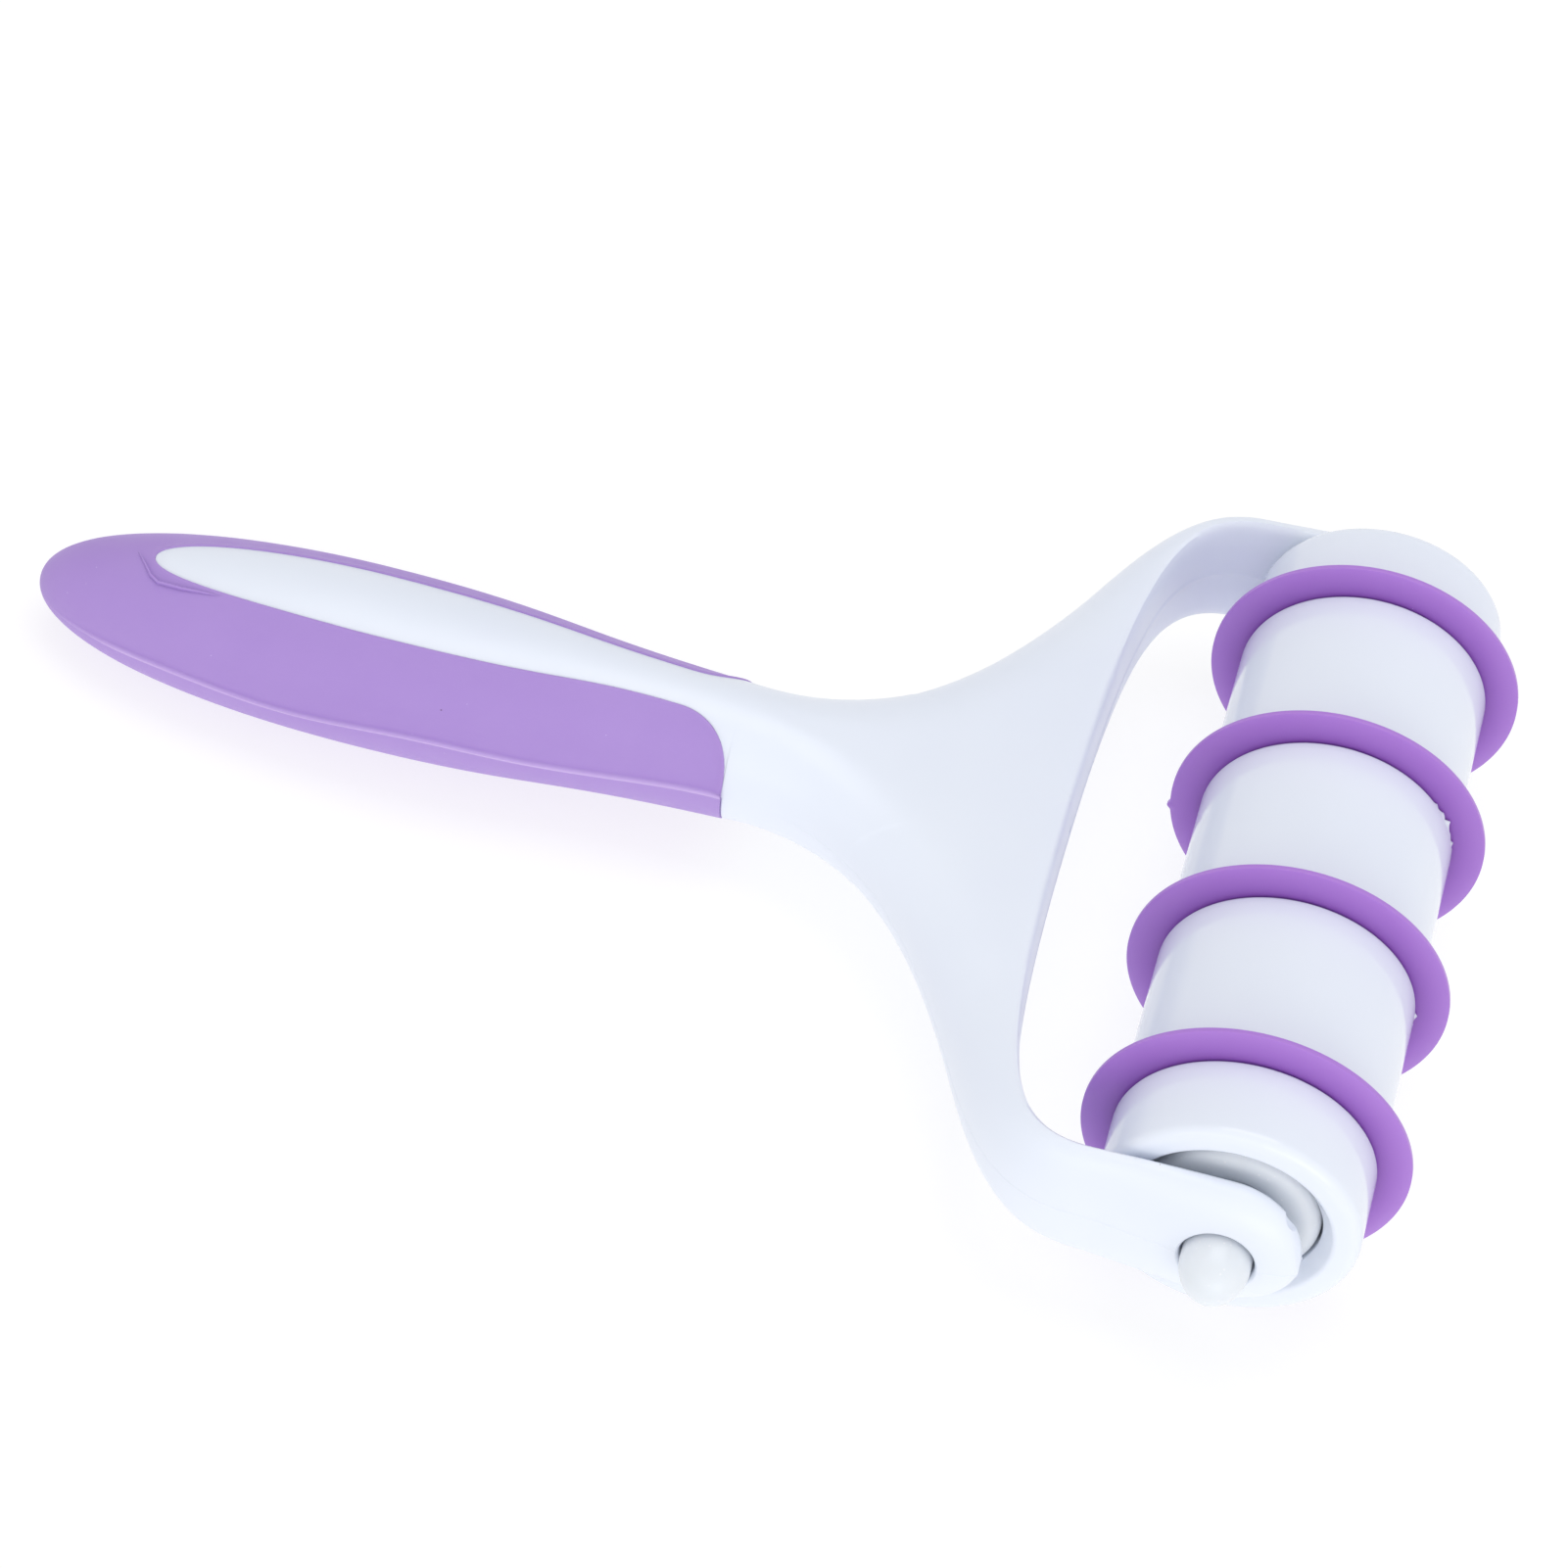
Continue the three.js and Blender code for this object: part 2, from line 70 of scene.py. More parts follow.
# Spacers
SPACER_RADIUS = 15.25
SPACER_WALL = 2.2
SPACER_WEB = 2.4
SPACER_EDGE = 0.4
SLEEVE_WALL = 1.8
SLEEVE_EDGE = 0.2
WEB_FILLET = 0.4
END_SKIRT = 2.4
END_ROUND = 1.2
RIM_WALL = 3.05
RECESS_DEPTH = 6
RECESS_EDGE = 0.7
BOWL_DEPTH = 1.9
BOWL_GAP = 0.25
BOWL_ROUND = 0.4
BOWL_FOOT = 0.3

# Core and end hubs
CORE_RADIUS = 6.5
CREST_DEPTH = 1
CREST_ROUND = 1.7
CREST_WIDTH = 4
CREST_FALL = 1
FALL_ROUND = 0.6
FLANGE_EDGE = 0.3
TRUNNION_RADIUS = 4
TRUNNION_PROUD = 5.2
TRUNNION_FOOT = 0.4
NOSE_LENGTH = 5.2
SPIGOT_LENGTH = 14
SPIGOT_ROUND = 0.5

# Fork
ARM_THICKNESS = 4.1
ARM_HEIGHT = 18.2
ARM_FLARE = 1.5
TIP_ROUND = 1.8
WEB_THICKNESS = 13
WINDOW_DEPTH = 10.2
WEB_LENGTH = 39.8
WEB_FLAT = 17.2
SHOULDER_BACK = 5.2
SHOULDER_INSET = 15.2
SHOULDER_RUN = 13
SHOULDER_ANGLE = math.radians(64)
CORNER_RUN = 13.5
OUTER_ROUND = 10
INNER_ROUND = 1.1
ELLIPSE = 2
OUTER_SQUARENESS = 2.2
OUTER_FLOW = 2.8
INNER_SQUARENESS = 2.5
BORE_ROUND = 0.6
BORE_TURN = math.radians(65)
NICK_RADIUS = 1.5
NICK_REACH = 0.7
NICK_ANGLE = math.radians(40)

# Handle and its soft grip
NECK_WIDTH = 15.9
BELLY_WIDTH = 23.3
BELLY_THICKNESS = 20
BELLY_RUN = 47
BUTT_RUN = 41.8
BUTT_DROOP = 0.9
GRIP_WALL = 2.2
CORE_INSET = 2.5
GRIP_SETBACK = 1
STRIP_WIDTH = 10.1
STRIP_MOUTH = 5.9
STRIP_MARGIN = 14.5
STRIP_CORNER = 7
SEAM_ROUND = 0.16

# How far each curve holds its first and its last direction, as a share of its run
BUTT_FULLNESS = 0.66
BUTT_EASE = 0.52
PLAN_PULL = 0.5
SIDE_PULL = 0.8
NECK_EASE = 0.45
FLANK_EASE = 0.42
SHOULDER_EASE = 0.72
ARM_EASE = 0.7
CORNER_FULLNESS = 0.88
STRIP_FULLNESS = 0.94
STRIP_EASE = 0.04
STRIP_PULL = 0.62
MOUTH_EASE = 0.6
MOUTH_FULLNESS = 0.36

# Where the fork's section changes, as shares of its runs, and what share its rounded edges may take
FLANK_SHARE = 0.34
FLAT_SHARE = 0.75
LEVEL_SHARE = 0.45
ARM_SHARE = 0.22
OUTER_SHARE = 0.75
INNER_SHARE = 0.25
STEEPEST_SLANT = 3
TIP_SHARE = 0.125

# Marks of the mould: parting ridges, flash, and a fold in the soft skin
RIDGE_HEIGHT = 0.07
RIDGE_HALF_WIDTH = 0.13
BAND_HEIGHT = 0.1
BAND_HALF_WIDTH = 0.9
BAND_EDGE = 0.14
BAND_CLOSING = 0.7
BAND_CLOSED = 0.99
GRIP_STEP = 0.25
GRIP_STEP_FALL = 4
GRIP_LIP = 0.28
GRIP_GROOVE = 0.07
GRIP_LIP_WIDTH = 0.2
# Painted light on the grip: a painted highlight along the bead and painted floor bounce light below it
PAINTED_LIGHT_MARK = "painted_grip_light"
BOUNCE_LIGHT_BELOW = 0.12
BOUNCE_LIGHT_START = 2
GRIP_WAVE = 0.5
GRIP_WAVE_LENGTH = 37
GRIP_WAVE_HALF = 2
SEAM_LIP = 0.2
SEAM_LIP_WIDTH = 1.2
FOLD_RADIUS = 0.25
FOLD_RISE = 2
FLASH_HEIGHT = 0.8
FLASH_WIDTH = 1.2
FLASH_FADE = math.radians(6)
FLASH_SEED = 3
NUB_HEIGHT = 0.4
NUB_WIDTH = 0.45

# Mesh density
CURVE_POINTS = 600
WEB_ROWS = 60
SHOULDER_ROWS = 110
ARM_ROWS = 36
TIP_ROWS = 40
BUTT_ROWS = 40
STRIP_ROWS = 150
END_ROWS = 8
FOLD_ROWS = 60
OUTER_COLUMNS = 18
FLAT_COLUMNS = 10
INNER_COLUMNS = 8
GRIP_COLUMNS = 22
LATHE_SIDES = 192
NUB_SIDES = 3 * LATHE_SIDES
FILLET_STEPS = 5
FILLET_HOLD = 0.3
BEVEL_STEPS = 8
NOSE_STEPS = 23
NICK_STEPS = 24
FOLD_SIDES = 8
WEB_CROWDING = 1.7
COLUMN_CROWDING = 1.4
RIDGE_TURN = 0.5
BAND_TURN = 0.6
BAND_EDGE_TURN = 0.8
BUTT_CROWDING = 2
WELD = 1e-4
SHARP_ANGLE = math.radians(38)

# The fold in the grip, along and across from the strip's rounded end
FOLD_PATH = ((-2.45, 0.5), (0.45, -3), (1.65, -3.8), (4.65, -4.2), (10, -4.4))

# Marks on the roller: angles round its axis, upwards from the side away from the handle
NUB_DISC = 3
NUB_ANGLE = math.radians(-171)
FLASH_ANGLES = {2: (math.radians(4), math.radians(42)), 1: (math.radians(-6), math.radians(10))}

# Places along the roller, from its middle
last_disc = (DISC_COUNT - 1) / 2 * DISC_PITCH
end_start = last_disc + DISC_THICKNESS / 2 + STACK_GAP
end_web = end_start + END_SKIRT
recess_floor = end_web + SPACER_WEB
end_face = recess_floor + RECESS_DEPTH
flange_start = recess_floor + STACK_GAP
crest = end_face - CREST_DEPTH
spacer_length = DISC_PITCH - DISC_THICKNESS - 2 * STACK_GAP
shaft_bore = CORE_RADIUS + BORE_GAP
sleeve_radius = shaft_bore + SLEEVE_WALL
wall_radius = SPACER_RADIUS - SPACER_WALL
recess_radius = SPACER_RADIUS - RIM_WALL
flange_radius = recess_radius - FLANGE_GAP
bowl_radius = flange_radius + BOWL_GAP
arm_bore = TRUNNION_RADIUS + BORE_GAP

# Places across and along the frame, from the roller's axis
roller_shift = -END_PLAY / 2
arm_inner = end_face + THRUST_GAP + END_PLAY / 2
arm_outer = arm_inner + ARM_THICKNESS
nick_place = arm_inner + ARM_THICKNESS / 3
trunnion_tip = arm_outer + ARM_FLARE + TRUNNION_PROUD + roller_shift
tip_radius = ARM_HEIGHT / 2
web_half = WEB_THICKNESS / 2
web_x = -(DISC_RADIUS + WINDOW_DEPTH)
flat_x = web_x - WEB_FLAT
neck_x = web_x - WEB_LENGTH
belly_x = neck_x - BELLY_RUN
butt_x = belly_x - BUTT_RUN
grip_front_x = neck_x - GRIP_SETBACK

# The tool's frame in the row frame: its origin is on the hinge, and its Z is square to the web
hinge = Vector(frame["joints"][0]["pos_m"])
web_up = next(mount["axis"] for mount in frame["record"]["mounts"] if mount["name"] == "web_top")
tilt = math.atan2(-web_up[0], web_up[2])
to_row = Matrix.Translation(hinge) @ Matrix.Rotation(-tilt, 4, "Y") @ Matrix.Scale(MM, 4)
to_tool = to_row.inverted()


def smoothstep(value, low, high):
    share = np.clip((value - low) / (high - low), 0, 1)
    return share * share * (3 - 2 * share)


def mix(first, last, share):
    return first + (last - first) * share


# Curves in plan


def bend(start, leaving, end, coming):
    """A curve between two points, with the way it leaves the first and the way it comes to the last."""
    start, leaving, end, coming = (np.array(part, float) for part in (start, leaving, end, coming))
    share = np.linspace(0, 1, CURVE_POINTS)[:, None]
    left = 1 - share
    first = start + leaving
    last = end - coming
    return start * left**3 + 3 * first * share * left**2 + 3 * last * share**2 * left + end * share**3


def joined(*curves):
    return np.vstack([curves[0]] + [curve[1:] for curve in curves[1:]])


def lengths_along(path):
    steps = np.linalg.norm(np.diff(path, axis=0), axis=1)
    return np.concatenate([[0], np.cumsum(steps)])


def at_share(path, share):
    """Points at shares of a path's length."""
    along = lengths_along(path)
    wanted = np.asarray(share) * along[-1]
    return np.stack([np.interp(wanted, along, path[:, axis]) for axis in range(2)], -1)


def side_normals(points):
    """Unit normals to the left of a path in plan."""
    ways = np.gradient(points, axis=0)
    ways /= np.maximum(np.linalg.norm(ways, axis=1, keepdims=True), TINY)
    return np.stack([-ways[:, 1], ways[:, 0]], -1)


def distance_to_path(spots, path):
    """Distance in plan from each spot to a path of straight pieces."""
    starts = path[:-1]
    ways = path[1:] - starts
    nearest = np.full(spots.shape[:-1], np.inf)
    for start, way in zip(starts, ways):
        size = way @ way
        if size == 0:
            continue
        share = np.clip((spots - start) @ way / size, 0, 1)
        nearest = np.minimum(nearest, np.linalg.norm(spots - start - share[..., None] * way, axis=-1))
    return nearest


def handle_outline(belly_half, end_x, end_half, pull, inset):
    """Half the handle's outline: a blunt butt, then a long curve from the belly to a narrower place."""
    belly = (belly_x, belly_half - inset)
    run = end_x - belly_x
    return joined(
        bend((butt_x + inset, 0), (0, belly[1] * BUTT_FULLNESS), belly, (BUTT_RUN * BUTT_EASE, 0)),
        bend(belly, (run * pull, 0), (end_x, end_half - inset), (run * (1 - pull), 0)),
    )


def half_width(x, inset=0):
    outline = handle_outline(BELLY_WIDTH / 2, neck_x, NECK_WIDTH / 2, PLAN_PULL, inset)
    return np.interp(x, outline[:, 0], outline[:, 1])


def half_height(x, inset=0):
    outline = handle_outline(BELLY_THICKNESS / 2, flat_x, web_half, SIDE_PULL, inset)
    return np.interp(x, outline[:, 0], outline[:, 1])


def droop(x):
    """How far the handle's middle line drops towards the butt."""
    share = np.maximum(belly_x + BELLY_RUN / 2 - x, 0) / (BUTT_RUN + BELLY_RUN / 2)
    return BUTT_DROOP * share**2


def strip_edge(inset):
    """Half the outline of the opening that shows the frame: a strip that widens at its mouth."""
    start = (butt_x + STRIP_MARGIN + inset, 0)
    belly = (belly_x, STRIP_WIDTH / 2 - inset)
    mouth = (grip_front_x - STRIP_CORNER, STRIP_MOUTH / 2 - inset)
    corner = (grip_front_x, NECK_WIDTH / 2)
    run = mouth[0] - belly[0]
    widening = corner[1] - mouth[1]
    return joined(
        bend(start, (0, belly[1] * STRIP_FULLNESS), belly, ((belly[0] - start[0]) * STRIP_EASE, 0)),
        bend(belly, (run * STRIP_PULL, 0), mouth, (run * (1 - STRIP_PULL), 0)),
        bend(mouth, (STRIP_CORNER * MOUTH_EASE, 0), corner, (0, widening * MOUTH_FULLNESS)),
    )


# Meshes


def on_middle_plane(place):
    return abs(place.y - hinge.y) < WELD * MM


def object_from(name, grids):
    """A closed object from grids of points, welded where they meet, with no faces on its middle plane."""
    shape = bmesh.new()
    for grid in grids:
        rows = [[shape.verts.new(to_row @ Vector(spot)) for spot in row] for row in grid]
        for above, below in zip(rows, rows[1:]):
            for column in range(len(above) - 1):
                shape.faces.new((above[column], above[column + 1], below[column + 1], below[column]))
    bmesh.ops.remove_doubles(shape, verts=shape.verts, dist=WELD * MM)
    bmesh.ops.dissolve_degenerate(shape, edges=shape.edges, dist=WELD * MM)
    inside = [face for face in shape.faces if all(on_middle_plane(spot.co) for spot in face.verts)]
    bmesh.ops.delete(shape, geom=inside, context="FACES")
    bmesh.ops.recalc_face_normals(shape, faces=shape.faces)
    mesh = bpy.data.meshes.new(name)
    shape.to_mesh(mesh)
    shape.free()
    made = bpy.data.objects.new(name, mesh)
    bpy.context.scene.collection.objects.link(made)
    return made


def piece_from(name, grids, body, material, nodes):
    """A piece that rides a body and takes the place of CAD nodes."""
    piece = object_from(name, grids)
    finish_mesh(piece)
    piece.data.materials.append(material)
    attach(piece, body)
    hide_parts(*nodes)
    return piece


def finish_mesh(piece):
    for polygon in piece.data.polygons:
        polygon.use_smooth = True
    piece.data.set_sharp_from_angle(angle=SHARP_ANGLE)


def both_sides(grid):
    """A grid and its mirror image across the handle's middle plane."""
    return [grid, grid * np.array([1, -1, 1])]


def cut(piece, cutters):
    """Cuts closed meshes out of a piece, and removes the cutters and the empty slots that they leave."""
    for cutter in cutters:
        modifier = piece.modifiers.new("cut", "BOOLEAN")
        modifier.operation = "DIFFERENCE"
        modifier.solver = "MANIFOLD"
        modifier.object = cutter
    graph = bpy.context.evaluated_depsgraph_get()
    mesh = bpy.data.meshes.new_from_object(piece.evaluated_get(graph))
    while mesh.materials[-1] is None:
        mesh.materials.pop()
    piece.modifiers.clear()
    piece.data = mesh
    mesh.name = piece.name
    for cutter in cutters:
        bpy.data.objects.remove(cutter)
    finish_mesh(piece)


# Fork


def rise(share, squareness, flow=None):
    """The height of a rounded edge, from 0 to 1, at a share of its width. More flow softens its top."""
    left = 1 - np.clip(share, 0, 1)
    return (1 - left ** (squareness if flow is None else flow)) ** (1 / squareness)


def fork_curves():
    """The fork's flank, its whole outer edge and its inner edge, in plan."""
    aim = np.array([math.cos(SHOULDER_ANGLE), math.sin(SHOULDER_ANGLE)])
    shoulder = (web_x - SHOULDER_BACK, arm_outer - SHOULDER_INSET)
    neck = (neck_x, NECK_WIDTH / 2)
    arm_start = (web_x + SHOULDER_RUN, arm_outer)
    flank = bend(neck, (WEB_LENGTH * NECK_EASE, 0), shoulder, aim * WEB_LENGTH * FLANK_EASE)
    turn = bend(shoulder, aim * SHOULDER_INSET * SHOULDER_EASE, arm_start, (SHOULDER_RUN * ARM_EASE, 0))
    corner = (web_x + CORNER_RUN, arm_inner)
    inner = bend((web_x, 0), (0, arm_inner * CORNER_FULLNESS), corner, (CORNER_RUN * ARM_EASE, 0))
    return flank, joined(flank, turn), inner


def fork_stations():
    """Rows of the fork: outer and inner points, half the height, and how flat and arm-like each is."""
    flank, outer_path, inner_path = fork_curves()
    flank_share = FLANK_SHARE * lengths_along(flank)[-1] / lengths_along(outer_path)[-1]
    web = np.linspace(0, 1, WEB_ROWS + 1)
    web_run = neck_x + WEB_LENGTH * (1 - (1 - web) ** WEB_CROWDING)
    shoulder = np.linspace(0, 1, SHOULDER_ROWS + 1)[1:]
    arm = np.linspace(0, 1, ARM_ROWS + 1)[1:]
    turn = np.linspace(0, 1, TIP_ROWS + 1)[1:] * QUARTER
    tip_inset = TIP_ROUND * (1 - np.cos(turn))
    arm_top = arm_outer + ARM_FLARE

    def grown(share):
        return mix(web_half, tip_radius, smoothstep(share, LEVEL_SHARE, 1 + ARM_SHARE))

    outer = np.vstack([
        at_share(outer_path, flank_share * web),
        at_share(outer_path, mix(flank_share, 1, shoulder)),
        np.stack([outer_path[-1, 0] * (1 - arm), arm_outer + ARM_FLARE * smoothstep(arm, 0, 1)], -1),
        np.stack([tip_radius * np.sin(turn), arm_top - tip_inset], -1),
    ])
    inner = np.vstack([
        np.stack([web_run, np.zeros(WEB_ROWS + 1)], -1),
        at_share(inner_path, shoulder),
        np.stack([inner_path[-1, 0] * (1 - arm), np.full(ARM_ROWS, arm_inner)], -1),
        np.stack([tip_radius * np.sin(turn), arm_inner + tip_inset], -1),
    ])
    half = np.concatenate([
        half_height(np.minimum(web_run, flat_x)),
        grown(shoulder),
        grown(1 + ARM_SHARE * arm),
        tip_radius * np.cos(turn),
    ])
    half[-1] = 0
    flatness = np.ones(len(half))
    flatness[:WEB_ROWS + 1] = smoothstep(web, 0, FLAT_SHARE)
    armness = np.zeros(len(half))
    armness[WEB_ROWS + 1:] = 1
    armness[WEB_ROWS + 1:WEB_ROWS + 1 + SHOULDER_ROWS] = smoothstep(shoulder, LEVEL_SHARE, 1)
    return outer, inner, half, flatness, armness


def step_angles(count, fine):
    """Angles over a quarter turn, closer together at its start, after the small ones given for each row."""
    even = QUARTER * np.linspace(0, 1, count + 1)[1:] ** COLUMN_CROWDING
    rows = len(fine[0])
    columns = [np.zeros(rows)] + [np.asarray(angle) for angle in fine]
    return np.stack(columns + [np.full(rows, angle) for angle in even], -1)


def fork_rows():
    """Points over the upper half of the fork's sections, from the outer edge in, and the neck's turns."""
    outer, inner, half, flatness, armness = fork_stations()
    width = np.linalg.norm(outer - inner, axis=1)
    inner_edge = inner[WEB_ROWS:]
    probe = outer + (inner - outer) * (1 - INNER_ROUND / width)[:, None]
    slant = INNER_ROUND / np.maximum(distance_to_path(probe, inner_edge), TINY)
    inner_reach = np.minimum(INNER_ROUND * np.clip(slant, 1, STEEPEST_SLANT), INNER_SHARE * width)
    outer_round = np.minimum(mix(NECK_WIDTH / 2, OUTER_ROUND, flatness), width - inner_reach * flatness)
    squareness = mix(ELLIPSE, OUTER_SQUARENESS, flatness)[:, None]
    flow = mix(mix(ELLIPSE, OUTER_FLOW, flatness), OUTER_SQUARENESS, armness)[:, None]
    outer_reach = np.minimum(outer_round, OUTER_SHARE * width)
    safe_half = np.maximum(half, tip_radius * TIP_SHARE)

    def angle_at(height, power):
        return np.arcsin(np.clip(height / safe_half, 0, 1) ** (power / 2))

    first_turn = QUARTER / OUTER_COLUMNS**COLUMN_CROWDING
    outer_turns = step_angles(OUTER_COLUMNS, [
        np.minimum(angle_at(RIDGE_HALF_WIDTH, squareness[:, 0]), first_turn * RIDGE_TURN),
    ])
    band = mix(BAND_HALF_WIDTH, RIDGE_HALF_WIDTH, band_fade(inner))
    first_turn = QUARTER / INNER_COLUMNS**COLUMN_CROWDING
    inner_turns = step_angles(INNER_COLUMNS, [
        np.minimum(angle_at(band, INNER_SQUARENESS), first_turn * BAND_TURN),
        np.minimum(angle_at(band + BAND_EDGE, INNER_SQUARENESS), first_turn * BAND_EDGE_TURN),
    ])
    outer_steps = outer_reach[:, None] * (1 - np.abs(np.cos(outer_turns)) ** (2 / squareness))
    crowded = 1 - np.abs(np.cos(inner_turns)) ** (2 / INNER_SQUARENESS)
    even = np.linspace(0, 1, crowded.shape[1])[None]
    near_edge = smoothstep(np.arange(len(half)), WEB_ROWS / 2, WEB_ROWS)[:, None]
    inner_steps = inner_reach[:, None] * mix(even, crowded, near_edge)
    flat_share = np.linspace(0, 1, FLAT_COLUMNS + 1)[1:-1]
    flat_steps = mix(outer_reach[:, None], (width - inner_reach)[:, None], flat_share)
    reach = np.hstack([outer_steps, flat_steps, width[:, None] - inner_steps[:, ::-1]])
    spots = outer[:, None] + (inner - outer)[:, None] * (reach / width[:, None])[..., None]
    tallest = np.repeat(half[:, None], reach.shape[1], axis=1)
    tallest[:WEB_ROWS] = half_height(np.minimum(spots[:WEB_ROWS, :, 0], flat_x))
    heights = (
        tallest
        * rise(distance_to_path(spots, outer) / outer_round[:, None], squareness, flow)
        * rise(distance_to_path(spots, inner_edge) / INNER_ROUND, INNER_SQUARENESS)
    )
    heights[:, 0] = 0
    heights[WEB_ROWS:, -1] = 0
    spots[:, 0] += side_normals(outer) * RIDGE_HEIGHT * flatness[:, None]
    lift = BAND_HEIGHT * (np.arange(len(half)) >= WEB_ROWS)
    spots[:, -2:] -= (side_normals(inner) * lift[:, None])[:, None]
    spots[:WEB_ROWS + 1, -1, 1] = 0
    rows = np.concatenate([spots, heights[..., None]], -1)
    neck_turns = np.arccos(np.clip(1 - reach[0] / width[0], 0, 1))
    return rows, neck_turns


def band_fade(inner):
    """How far the band on the web's inner face has closed to one line, along the inner edge."""
    return smoothstep(inner[:, 1], arm_inner * BAND_CLOSING, arm_inner * BAND_CLOSED)


# Handle


def edge_drop(distance):
    """How far a surface dips beside a seam, as its edge is rounded."""
    left = np.clip(1 - distance / SEAM_ROUND, 0, 1)
    return SEAM_ROUND * (1 - np.sqrt(1 - left**2))


def strip_stations(inset):
    """Places along the strip's edge, close together at its round end, and the edge itself."""
    edge = strip_edge(inset)
    start = edge[0, 0]
    even = at_share(edge, np.linspace(0, 1, STRIP_ROWS + 1))
    first = start + SEAM_ROUND * np.linspace(0, 1, END_ROWS + 1)[:-1] ** 2
    early = np.stack([first, np.interp(first, edge[:, 0], edge[:, 1])], -1)
    late = even[even[:, 0] > start + SEAM_ROUND]
    return np.vstack([early, late]), edge


def crowded_shares(count):
    """Shares of the way from a line, close together beside it."""
    return np.linspace(0, 1, count + 1) ** 2


def section_point(x, turn, inset=0, sink=0):
    """Points on the handle's oval section, or sunk below its surface."""
    wide = half_width(x, inset)
    tall = half_height(x, inset)
    across = np.cos(turn)
    up = np.sin(turn)
    way = np.stack([across / np.maximum(wide, LEAST_HALF), up / np.maximum(tall, LEAST_HALF)], -1)
    way /= np.linalg.norm(way, axis=-1, keepdims=True)
    return np.stack([
        np.broadcast_to(x, np.shape(turn)),
        wide * across - way[..., 0] * sink,
        tall * up - way[..., 1] * sink - droop(x),
    ], -1)


def frame_piece(material):
    """The frame in rings round its section: a core inside the grip, the strip, the neck and the fork."""
    fork, neck_turns = fork_rows()
    columns = fork.shape[1]
    stations, edge = strip_stations(SEAM_GAP)
    x = stations[:, :1]
    seam = np.arccos(np.clip(stations[:, 1:] / half_width(x), -1, 1))
    turns = mix(seam, QUARTER, neck_turns[None] / QUARTER)
    strip = section_point(x, turns)
    strip[:, -1, 1] = 0
    under = mix(seam, -QUARTER, np.linspace(0, 1, columns)[None])
    core = section_point(x, under, CORE_INSET)
    core[:, -1, 1] = 0

    butt = butt_x + CORE_INSET
    butt_places = mix(butt, edge[0, 0], np.linspace(0, 1, BUTT_ROWS)[:-1] ** BUTT_CROWDING)[:, None]
    butt_turns = mix(QUARTER, -QUARTER, np.linspace(0, 1, columns)[None])
    butt_core = section_point(butt_places, butt_turns + 0 * butt_places, CORE_INSET)
    butt_core[:, [0, -1], 1] = 0
    butt_core[0] = butt_core[0, 0]
    butt_top = np.repeat(butt_core[:, :1], columns, axis=1)

    front = grip_front_x + SEAM_GAP
    front_places = np.array([front, front, front + SEAM_ROUND])[:, None]
    front_sink = np.array([SEAM_ROUND, SEAM_ROUND, 0])[:, None]
    front_turns = neck_turns[None] + 0 * front_places
    front_top = section_point(front_places, front_turns)
    front_top[:, -1, 1] = 0
    front_under = section_point(front_places, -front_turns, sink=front_sink)
    front_under[0] = section_point(front, -neck_turns, CORE_INSET)
    front_under[:, -1, 1] = 0

    upper = np.vstack([butt_top[:, ::-1], strip, front_top, fork])
    below = fork * np.array([1, 1, -1])
    lower = np.vstack([butt_core, core, front_under, below])
    ring = np.concatenate([upper[:, ::-1], lower], axis=1)
    piece = piece_from(
        "handle_frame_skin", both_sides(ring), "handle", material, ["handle_frame"])
    cut(piece, bore_cutters(fork) + nick_cutters())
    return piece


def outer_face(fork, x, z):
    """How far out the arm's outer face lies at places along and up the arm."""
    arm = fork[WEB_ROWS + SHOULDER_ROWS:, :OUTER_COLUMNS + 2]
    by_row = np.stack([np.interp(np.abs(z), row[:, 2], row[:, 1]) for row in arm])
    return np.array([np.interp(place, arm[:, 0, 0], column) for place, column in zip(x, by_row.T)])


def bore_cutters(fork):
    """Round bars that bore both arms and round the bore's outer edge."""
    angle = np.linspace(0, 2 * math.pi, LATHE_SIDES + 1)
    turns = np.linspace(0, BORE_TURN, FILLET_STEPS + 1)
    radius = arm_bore + BORE_ROUND * (1 - np.cos(turns))
    face = outer_face(fork, radius[-1] * np.cos(angle), radius[-1] * np.sin(angle))
    sunk = [BORE_ROUND * (math.sin(turn) - math.sin(BORE_TURN)) for turn in turns]
    edge = [(r, face + depth) for r, depth in zip(radius, sunk)]
    beyond = (radius[-1] + BORE_ROUND * math.sin(BORE_TURN), face + BORE_ROUND * math.cos(BORE_TURN))
    inside = 0 * face + arm_inner - BORE_ROUND
    outside = 0 * face + trunnion_tip
    profile = [(0, inside), (arm_bore, inside), *edge, beyond, (beyond[0], outside), (0, outside)]
    grid = np.stack([np.stack([r * np.cos(angle), place, r * np.sin(angle)], -1) for r, place in profile])
    return [object_from("bore_cutter", [side]) for side in both_sides(grid)]


def nick_cutters():
    """Balls that nick the inner edge of both arm tips."""
    turns = np.linspace(-QUARTER, QUARTER, NICK_STEPS + 1)
    ball = lathe_grid(NICK_RADIUS * np.stack([np.cos(turns), np.sin(turns)], -1), 2 * NICK_STEPS)
    reach = tip_radius + NICK_REACH
    ball += (reach * math.cos(NICK_ANGLE), nick_place, reach * math.sin(NICK_ANGLE))
    return [object_from("nick_cutter", [side]) for side in both_sides(ball)]


def flash_line(x):
    """The turn of the grip's wavy parting line above or below the handle's middle."""
    wave = np.sin((x - belly_x) * 2 * math.pi / GRIP_WAVE_LENGTH)
    height = GRIP_WAVE * wave * smoothstep(x, butt_x, belly_x)
    return height / np.maximum(half_height(x), GRIP_WAVE_HALF)


